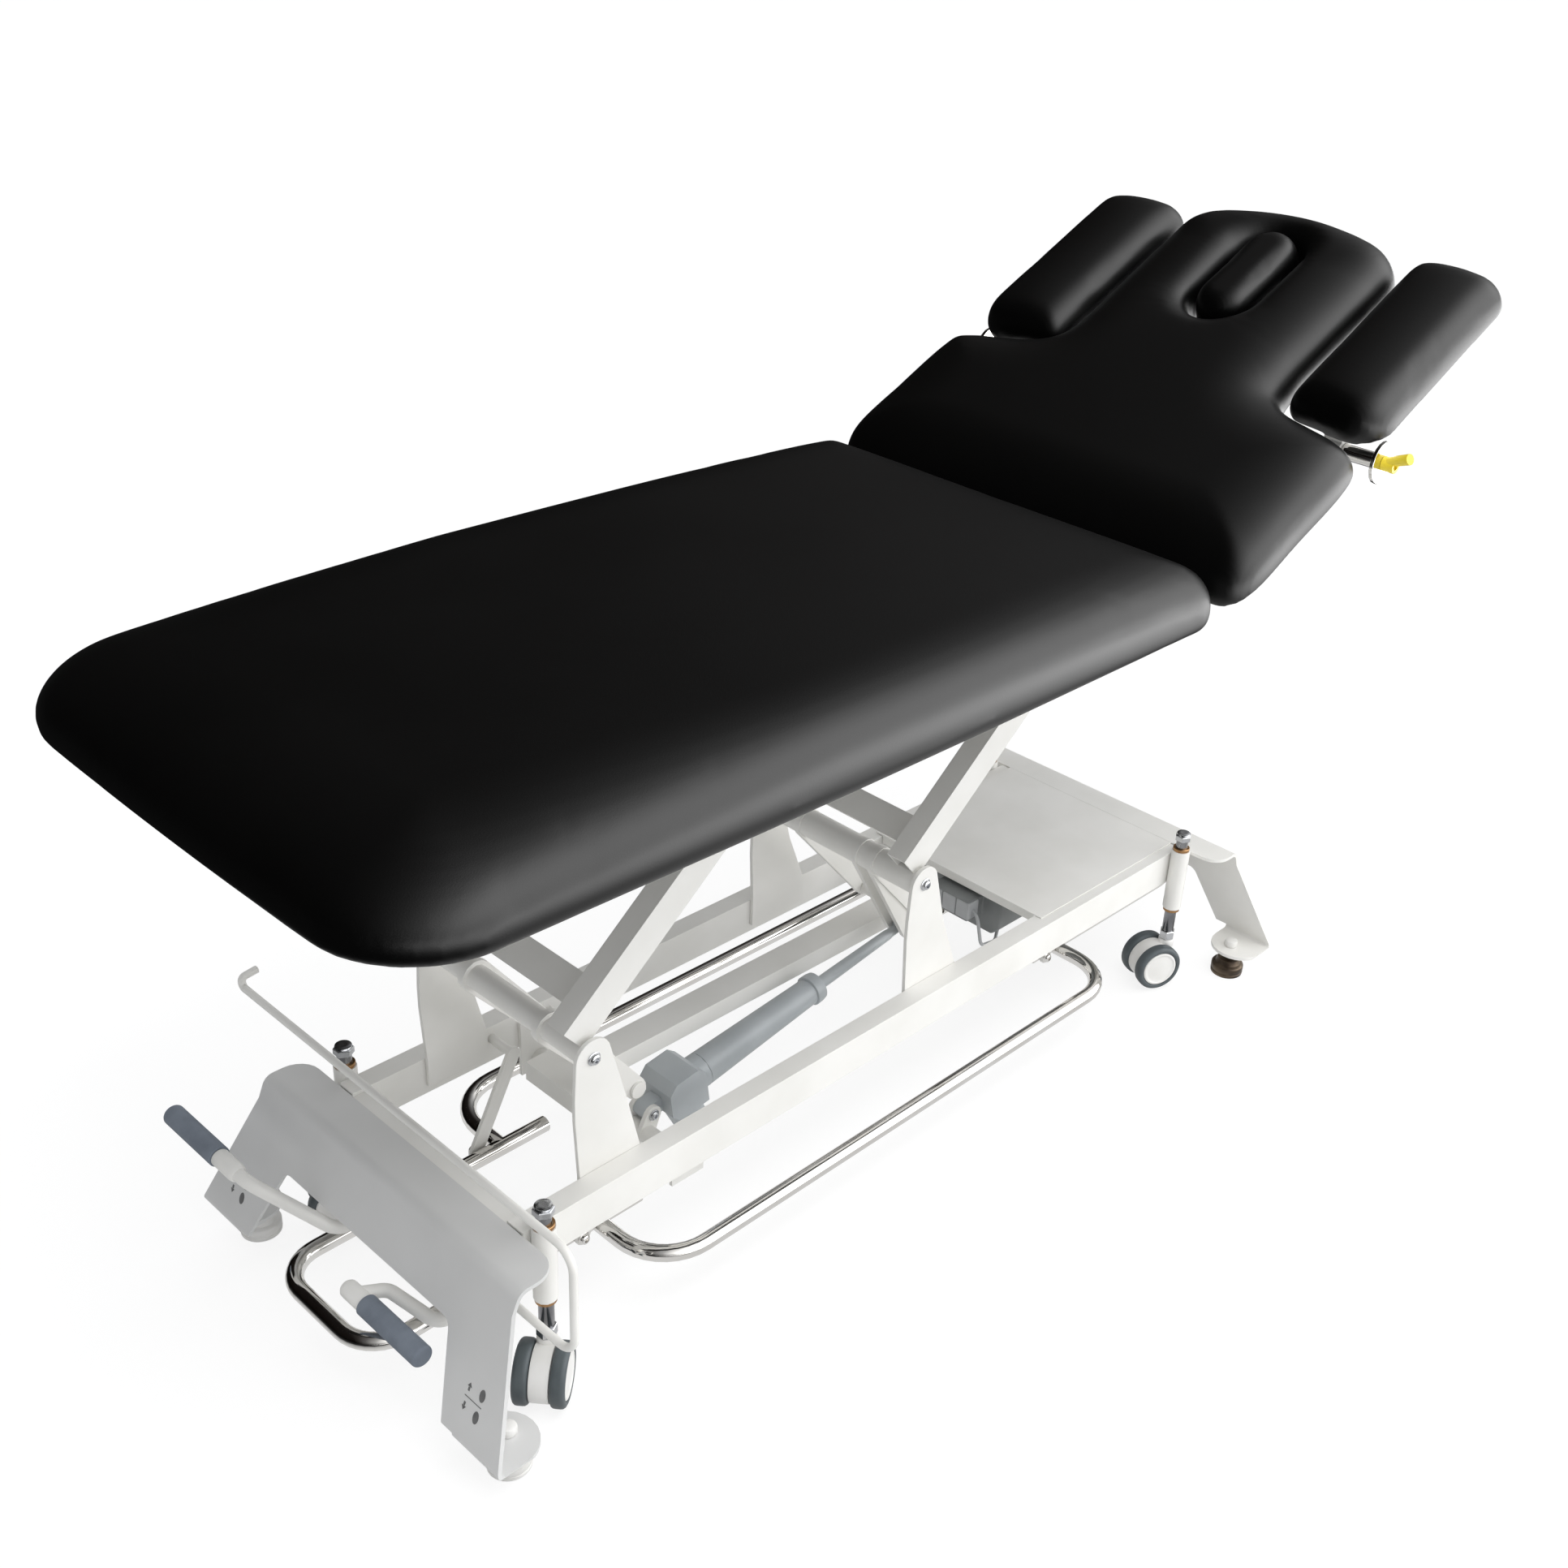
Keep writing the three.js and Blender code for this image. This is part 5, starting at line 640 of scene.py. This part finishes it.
def eased_block(low, high, ease):
    """A box with rounded edges: a sphere's grid whose sines and cosines are raised to the
    small power ease, which pushes its points out towards the box."""
    low, high = np.asarray(low, float), np.asarray(high, float)
    turn = full_turn(48)[:, None]
    rise = np.linspace(-math.pi / 2, math.pi / 2, 25)[None, :]
    flat, up = (np.sign(v) * np.abs(v) ** ease for v in (np.cos(rise), np.sin(rise)))
    ahead, aside = (np.sign(v) * np.abs(v) ** ease for v in (np.cos(turn), np.sin(turn)))
    unit = np.stack([flat * ahead, flat * aside, up * np.ones_like(turn)], axis=-1)
    return (low + high) / 2 + unit * (high - low) / 2


add_on(piece_of("paper_rod_block", [eased_block(block_low, block_high, 0.08)]), white_coat,
       body_of["paper_roll_rod"])


# Actuator: a moulded motor housing, an outer tube with a collar, and a push rod with an
# eye, all grey. It sits on a plated pin between two ears of the base.
actuator_shell = coat("actuator_shell", (0.42, 0.45, 0.47), (0.48, 0.51, 0.53), 14.0,
                      (0.36, 0.46), 0.0, 900.0, 0.16, 0.0002)
welded_part("actuator_bracket", "actuator_hangers", white_coat)
welded_part("actuator_motor_housing", "motor_housing", actuator_shell, edge=0.003, crease=34.0)
thrust_y, lever_length, lever_angle = -0.052, 0.158, math.radians(-62)
rear_pin = along_table((-0.341, thrust_y, 0.171))
rod_pin = along_table((
    head_pivot_x + lever_length * math.cos(lever_angle), thrust_y,
    pivot_z + lever_length * math.sin(lever_angle)))
thrust = (rod_pin - rear_pin) / np.linalg.norm(rod_pin - rear_pin)
tube = turned([
    (0.0925, 0.009), (0.0925, 0.0224), (0.0935, 0.0228), (0.284, 0.0182), (0.2842, 0.0202), (0.285, 0.021),
    (0.294, 0.0208), (0.300, 0.0196), (0.302, 0.016), (0.303, 0.012), (0.303, 0.0092),
    (0.0925, 0.009)],
    rear_pin, thrust, 56)
fit(piece_of("outer_tube", [tube]), "actuator_outer_tube", actuator_shell)
reach = float(np.linalg.norm(rod_pin - rear_pin))
push_rod = turned([
    (0.210, 0), (0.210, 0.0085), (0.330, 0.0086), (reach - 0.030, 0.0074), (reach - 0.024, 0.0066),
    (reach - 0.012, 0.0064), (reach - 0.011, 0)], rear_pin, thrust, 36)
rod_eye = turned([
    (-0.008, 0), (-0.008, 0.0102), (-0.0072, 0.011), (0.0072, 0.011), (0.008, 0.0102), (0.008, 0)],
    rod_pin, (0, 1, 0), 40)
fit(piece_of("push_rod", [push_rod, rod_eye]), "actuator_rod", actuator_shell)
ear_half, pin_gap, pin_radius = 0.0163, 0.0003, 0.005
fit(piece_of("rear_pin", cross_pin(rear_pin, ear_half + pin_gap, pin_radius, 28, 0.006, 0.004)),
    "actuator_rear_pin", plated)


# Control box: a dark moulded tray with its connector block, under a thin white sheet
# that lies across both rails.
grey_moulding = coat("grey_moulding", (0.20, 0.21, 0.21), (0.26, 0.27, 0.27), 12.0,
                     (0.45, 0.6), 0.0, 800.0, 0.22, 0.0003)
pale_connector = coat("pale_connector", (0.40, 0.41, 0.42), (0.48, 0.49, 0.50), 30.0,
                      (0.4, 0.5), 0.0, 700.0, 0.1, 0.0002)
welded_part("control_box", "control_tray", grey_moulding, edge=0.003)
sockets = [
    eased_block(along_table((0.2765, start, 0.176)), along_table((0.300, stop, 0.2035)), 0.14)
    for start, stop in ((-0.046, -0.022), (-0.020, 0.004), (0.006, 0.032))]
sockets.append(bar(along_table([
    (0.290, -0.040, 0.190), (0.284, -0.058, 0.186), (0.286, -0.068, 0.140), (0.322, -0.066, 0.132),
    (0.350, -0.050, 0.150)]), 0.0026, 0.012, sides=16))
add_on(piece_of("tray_connectors", sockets), pale_connector, body_of["control_box"])
welded_part("control_box_cover", "tray_cover", white_coat, edge=0.0005)


# Lift arms and tie beam: square tubes welded to pivot tubes, with lever plates below
# the lower pivot; the tie beam makes both arms swing together.
for node, name in {
        "foot_lift_arm": "lift_arm_foot", "head_lift_arm": "lift_arm_head", "tie_beam": "tie_tube"}.items():
    welded_part(node, name, white_coat, edge=0.0014)

# Top frame and head frame: box tubes under the cushions, hinged on a dark steel pin.
welded_part("top_frame", "top_tubes", white_coat)
welded_part("head_frame", "head_tubes", white_coat)
welded_part("head_hinge_pin", "hinge_rod", bronze_steel)


# Cushions: moulded foam on a board, covered in black leatherette that is pulled tight
# and stapled underneath. The cover rolls over wide soft shoulders down to its lower edge.
leatherette = coat("black_leatherette", (0.0003, 0.0003, 0.0003), (0.0006, 0.0006, 0.0006), 5.0,
                   (0.36, 0.42), 0.0, 620.0, 0.25, 0.0003)


def even_outline(points, count):
    """The same closed outline with its points spread evenly along it."""
    ring = np.vstack([points, points[:1]])
    run = np.concatenate([[0], np.cumsum(np.linalg.norm(np.diff(ring, axis=0), axis=1))])
    at = np.linspace(0, run[-1], count, endpoint=False)
    return np.stack([np.interp(at, run, ring[:, 0]), np.interp(at, run, ring[:, 1])], axis=1)


def rounded_outline(corners, radii, count):
    """A closed outline with straight sides and one arc at each corner, counter-clockwise."""
    corners = np.asarray(corners, float)
    pieces = []
    for i, corner in enumerate(corners):
        before, after = corners[i - 1], corners[(i + 1) % len(corners)]
        back = (before - corner) / np.linalg.norm(before - corner)
        ahead = (after - corner) / np.linalg.norm(after - corner)
        half = math.acos(float(back @ ahead)) / 2
        centre = corner + (back + ahead) / np.linalg.norm(back + ahead) * radii[i] / math.sin(half)
        spoke = corner + back * radii[i] / math.tan(half) - centre
        turn = np.linspace(0, math.pi - 2 * half, 24)[:, None]
        square = np.array([-spoke[1], spoke[0]])
        pieces.append(centre + spoke * np.cos(turn) + square * np.sin(turn))
    return even_outline(np.concatenate(pieces), count)


def distance_to(points, outline):
    """The least distance from each point to the sides of a closed outline."""
    side = np.roll(outline, -1, axis=0) - outline
    length = (side ** 2).sum(axis=1)
    best = np.full(len(points), np.inf)
    for start, edge, square in zip(outline, side, length):
        share = np.clip(((points - start) @ edge) / square, 0, 1)
        best = np.minimum(best, ((points - start - share[:, None] * edge) ** 2).sum(axis=1))
    return np.sqrt(best)


under_rows, side_rows = 13, 7
top_start = under_rows + side_rows


def cover_grid(outline, inner, base, thickness, shoulder, waist_share, tuck, power):
    """The closed cover as a grid: round the outline, and from the underside over the top.
    Inwards from the outline, the top rises over the waist by the superellipse
    (1 - (1 - d / shoulder) ** power) ** (1 / power) of the distance d to the outline.
    Under the waist a quarter ellipse draws the side in to the board."""
    waist = base + thickness * waist_share
    share = np.linspace(0, 1, 46) ** 1.7
    inward = outline[:, None] + (inner - outline)[:, None] * share[None, :, None]
    reach = distance_to(inward.reshape(-1, 2), outline).reshape(inward.shape[:2])
    left = np.clip(1 - reach / np.broadcast_to(shoulder, reach.shape), 0, 1)
    top_z = waist + thickness * (1 - waist_share) * (1 - left ** power) ** (1 / power)
    top = np.dstack([inward, top_z])
    toward = (inner - outline) / np.linalg.norm(inner - outline, axis=1)[:, None]
    turn = np.linspace(math.pi / 2, 0, side_rows + 1)[:-1]
    drawn = outline[:, None] + toward[:, None] * (tuck * np.sin(turn) ** 2)[None, :, None]
    side = np.dstack([drawn, np.broadcast_to(waist - (waist - base) * np.sin(turn), drawn.shape[:2])])
    board = np.linspace(0, 1, under_rows + 1)[:-1][None, :, None]
    centre = np.dstack([inner[:, None], np.full((len(inner), 1), base)])
    under = centre + (side[:, :1] - centre) * board
    return np.concatenate([under, side, top], axis=1)


def as_modified(piece):
    """The piece's mesh with its modifiers carried out."""
    return bpy.data.meshes.new_from_object(piece.evaluated_get(bpy.context.evaluated_depsgraph_get()))


def stuffed(piece, voxel, swell, frames=20):
    """The cover is remeshed evenly and blown up from inside as cloth over its foam; no
    point moves further than the swell. Then it is eased and refined once."""
    scene = bpy.context.scene
    remesh = piece.modifiers.new("even_cover", "REMESH")
    remesh.mode = "VOXEL"
    remesh.voxel_size = voxel
    even = as_modified(piece)
    piece.modifiers.clear()
    piece.data = even
    before = np.empty(len(even.vertices) * 3)
    even.vertices.foreach_get("co", before)
    cover = piece.modifiers.new("cover", "CLOTH")
    cover.settings.use_pressure = True
    cover.settings.uniform_pressure_force = 4.0
    cover.settings.effector_weights.gravity = 0
    cover.settings.quality = 4
    cover.point_cache.frame_start = 1
    cover.point_cache.frame_end = frames
    for step in range(1, frames + 1):
        scene.frame_set(step)
    blown = as_modified(piece)
    piece.modifiers.clear()
    scene.frame_set(1)
    after = np.empty(len(even.vertices) * 3)
    blown.vertices.foreach_get("co", after)
    before, move = before.reshape(-1, 3), (after - before).reshape(-1, 3)
    length = np.linalg.norm(move, axis=1)[:, None]
    settled = before + move * np.minimum(1, swell / np.maximum(length, 1e-9))
    even.vertices.foreach_set("co", settled.ravel())
    ease = piece.modifiers.new("ease", "SMOOTH")
    ease.factor, ease.iterations = 0.5, 8
    finer = piece.modifiers.new("finer", "SUBSURF")
    finer.levels = finer.render_levels = 1
    piece.data = as_modified(piece)
    piece.modifiers.clear()
    piece.data.shade_smooth()


# Body cushion: the long flat one, with larger corners at the foot end.
half_width, foot_x, head_x, foot_corner, head_corner = 0.3485, -0.8685, 0.3465, 0.112, 0.050
body_base, body_thickness, body_crown, outline_count = 0.7245, 0.0805, 0.010, 420
body_outline = rounded_outline(
    [(foot_x, -half_width), (head_x, -half_width), (head_x, half_width), (foot_x, half_width)],
    [foot_corner, head_corner, head_corner, foot_corner], outline_count)
across = body_outline[:, 1] / half_width
along = (body_outline[:, 0] - (foot_x + head_x) / 2) / ((head_x - foot_x) / 2)
foot_bow, side_bow, spine_inset = 0.008, 0.007, 0.30
body_outline[:, 0] += foot_bow * across ** 2 * np.clip(-along, 0, 1) ** 2
body_outline[:, 1] -= side_bow * across * along ** 2
spine_x = np.clip(body_outline[:, 0], foot_x + spine_inset, head_x - spine_inset)
spine = np.stack([spine_x, np.zeros(outline_count)], axis=1)
foot_share = np.clip((-0.35 - body_outline[:, :1]) / 0.5, 0, 1)
body_grid = cover_grid(body_outline, spine, body_base, body_thickness, 0.105 + 0.05 * foot_share,
                       0.20, 0.007, 2.5 - 0.4 * foot_share)
run_share = (body_grid[..., 0] - (foot_x + head_x) / 2) / ((head_x - foot_x) / 2)
height_share = np.clip((body_grid[..., 2] - body_base) / body_thickness, 0, 1)
body_grid[..., 2] += body_crown * (1 - np.abs(run_share) ** 3) * height_share
body_cover = piece_of("body_cushion_cover", [along_table(body_grid)], 180.0)
stuffed(body_cover, 0.006, 0.003)
fit(body_cover, "body_cushion", leatherette)


# Head cushion: broad at the shoulders and narrow where the arms lie, with a moulded
# recess round the face hole. It is laid out level and then tilted up about the hinge.
head_tilt = math.radians(25.7)
hinge_place = along_table((0.354, 0.0, 0.7235))


def tilted(grid):
    """Turns level points of the head section up about the hinge."""
    x, y, z = grid[..., 0], grid[..., 1], grid[..., 2]
    c, s = math.cos(head_tilt), math.sin(head_tilt)
    return np.stack([x * c - z * s, y, x * s + z * c], axis=-1) + hinge_place


def smooth_loop(points, count):
    """A closed centripetal Catmull-Rom curve through the points, evenly spaced."""
    p0, p1, p2, p3 = (np.roll(points, k, axis=0) for k in (1, 0, -1, -2))
    t01, t12, t23 = (np.linalg.norm(b - a, axis=1)[:, None] ** 0.5 for a, b in ((p0, p1), (p1, p2), (p2, p3)))
    m1 = (p2 - p1 + t12 * ((p1 - p0) / t01 - (p2 - p0) / (t01 + t12)))[:, None]
    m2 = (p2 - p1 + t12 * ((p3 - p2) / t23 - (p3 - p1) / (t12 + t23)))[:, None]
    s = np.linspace(0, 1, 16, endpoint=False)[None, :, None]
    p1, p2 = p1[:, None], p2[:, None]
    curve = (2 * p1 - 2 * p2 + m1 + m2) * s ** 3 + (3 * p2 - 3 * p1 - 2 * m1 - m2) * s ** 2 + m1 * s + p1
    return even_outline(curve.reshape(-1, 2), count)


def capsule_toward(angles, length, width):
    """The point of a long rounded outline in each direction from its centre."""
    straight, radius = (length - width) / 2, width / 2
    c, s = np.cos(angles), np.sin(angles)
    flat_x = radius * c / np.maximum(np.abs(s), 1e-9)
    end = straight * np.sign(c)
    run = end * c + np.sqrt(np.maximum(radius ** 2 - (end * s) ** 2, 0))
    on_side = np.abs(flat_x) <= straight
    return np.stack([
        np.where(on_side, flat_x, run * c), np.where(on_side, radius * np.sign(s), run * s)], axis=1)


head_length, head_half, head_base, head_thickness = 0.7325, 0.3485, 0.0035, 0.0765
head_shares = np.array([
    [0.004, 0], [0.004, 0.45], [0.006, 0.8], [0.020, 0.945], [0.055, 0.990], [0.22, 1],
    [0.36, 0.998], [0.405, 0.975], [0.43, 0.88], [0.448, 0.74], [0.463, 0.635], [0.49, 0.556],
    [0.56, 0.530], [0.7, 0.531], [0.84, 0.533], [0.915, 0.517], [0.957, 0.44], [0.981, 0.3],
    [0.995, 0.14], [1, 0]])
both_sides = np.concatenate([head_shares * (1, -1), head_shares[1:-1][::-1]])
head_outline = smooth_loop(both_sides * (head_length, head_half), outline_count)
half_count = outline_count // 2
hole_x, hole_length, hole_width = 0.567, 0.217, 0.102
hole_half = capsule_toward(np.linspace(-math.pi, 0, 61), hole_length, hole_width) + (hole_x, 0)
inner_half = np.concatenate([[(0.12, 0)], hole_half])
inner_run = np.concatenate([[0], np.cumsum(np.linalg.norm(np.diff(inner_half, axis=0), axis=1))])
slit = inner_run[1]
outline_share = head_outline[:half_count + 1, 0] / head_length
target = np.interp(
    outline_share,
    [0.004, 0.022, 0.07, 0.22, 0.345, 0.4, 0.445, 0.46, 0.488, 0.56, 0.70, 0.84, 0.915, 0.957, 0.995, 1],
    [0, 0.01, 0.03, 0.10, 0.17, 0.215, 0.262, 0.285, 0.33, 0.37, 0.43, 0.50, 0.54, 0.56, 0.59, inner_run[-1]])
target[half_count] = inner_run[-1]
first_hole = int(np.abs(target - slit).argmin())
target[first_hole] = slit
head_inner = np.stack([np.interp(target, inner_run, inner_half[:, k]) for k in (0, 1)], axis=1)
head_inner = np.concatenate([head_inner, head_inner[1:half_count][::-1] * (1, -1)])
wide = np.clip((0.36 - head_inner[:, :1]) / 0.20, 0, 1)
at_end = np.clip((head_outline[:, :1] - 0.62) / 0.09, 0, 1)
head_grid = cover_grid(head_outline, head_inner, head_base, head_thickness,
                       0.110 + 0.025 * wide - 0.045 * at_end, 0.16, 0.005, 2.3)
whole_hole = np.concatenate([hole_half, hole_half[1:-1][::-1] * (1, -1)])
to_hole = distance_to(head_grid[..., :2].reshape(-1, 2), whole_hole).reshape(head_grid.shape[:2])
rim_width, rim_depth = 0.034, 0.038
rim = np.clip(1 - to_hole / rim_width, 0, 1)
on_top = (np.arange(head_grid.shape[1]) >= top_start)[None, :]
head_grid[..., 2] -= on_top * rim_depth * (1 - np.sqrt(np.maximum(1 - rim ** 1.7, 0)))
wall_share = np.linspace(0, 1, 8)[None, :, None]
hole_rows = head_grid[first_hole:outline_count + 1 - first_hole]
head_wall = hole_rows[:, -1:] + (hole_rows[:, :1] - hole_rows[:, -1:]) * wall_share
for grid in (head_grid, head_wall):
    grid[..., 0] += 0.5 * (grid[..., 2] - head_base) * np.clip(1 - grid[..., 0] / 0.15, 0, 1)
head_cover = piece_of("head_cushion_cover", [tilted(head_grid), tilted(head_wall)], 180.0)
stuffed(head_cover, 0.005, 0.003)
fit(head_cover, "head_cushion", leatherette)

# Face plug: a loose pad of the same make that fills the face hole.
plug_length, plug_width, plug_thickness, plug_count = 0.1985, 0.0835, 0.0785, 180
plug_outline = even_outline(capsule_toward(full_turn(plug_count), plug_length, plug_width), plug_count)
plug_spine = np.stack([np.clip(plug_outline[:, 0], -0.050, 0.050), np.zeros(plug_count)], axis=1)
plug_grid = cover_grid(plug_outline, plug_spine, head_base, plug_thickness, 0.027, 0.55, -0.0065, 2.0)
plug_cover = piece_of("face_plug_cover", [tilted(plug_grid + (hole_x, 0, 0))], 180.0)
stuffed(plug_cover, 0.004, 0.001)
fit(plug_cover, "face_plug", leatherette)


# Armrests: a crowned pad on a bar at each side, turning on the cross tube behind a
# white disc, and held by a yellow clamp lever.
yellow_moulding = coat("yellow_moulding", (0.86, 0.66, 0.03), (0.92, 0.74, 0.06), 25.0,
                       (0.3, 0.4), 0.0, 600.0, 0.1, 0.0002)
arm_inner_y, arm_outer_y, arm_middle_y, arm_middle_x, arm_count = 0.1915, 0.3445, 0.268, 0.5215, 260
arm_base, arm_thickness, arm_crown = 0.0105, 0.0445, 0.018
arm_outline = rounded_outline(
    [(0.3565, arm_inner_y), (0.7085, arm_inner_y), (0.6955, arm_outer_y), (0.3345, arm_outer_y)],
    [0.026, 0.034, 0.040, 0.050], arm_count)
arm_spine = np.stack([np.clip(arm_outline[:, 0], 0.410, 0.640), np.full(arm_count, arm_middle_y)], axis=1)
arm_grid = cover_grid(arm_outline, arm_spine, arm_base, arm_thickness, 0.038, 0.20, 0.003, 2.0)
crown = arm_crown * (1 - ((arm_grid[..., 1] - arm_middle_y) / 0.0765) ** 2) * (
    1 - np.abs((arm_grid[..., 0] - arm_middle_x) / 0.188) ** 7)
arm_grid[..., 2] += crown * (np.arange(arm_grid.shape[1]) >= top_start)[None, :]
for side, sign in (("near", -1), ("far", 1)):
    arm_cover = piece_of(f"armrest_cover_{side}", [tilted(arm_grid * (1, sign, 1))], 180.0)
    stuffed(arm_cover, 0.005, 0.002)
    fit(arm_cover, f"armrest_cushion_{side}", leatherette)
    welded_part(f"armrest_bracket_{side}", f"armrest_bar_{side}", white_coat)
    welded_part(f"armrest_clamp_lever_{side}", f"clamp_lever_{side}", yellow_moulding, edge=0.002)
welded_part("armrest_cross_tube", "cross_tube", bright_chrome)
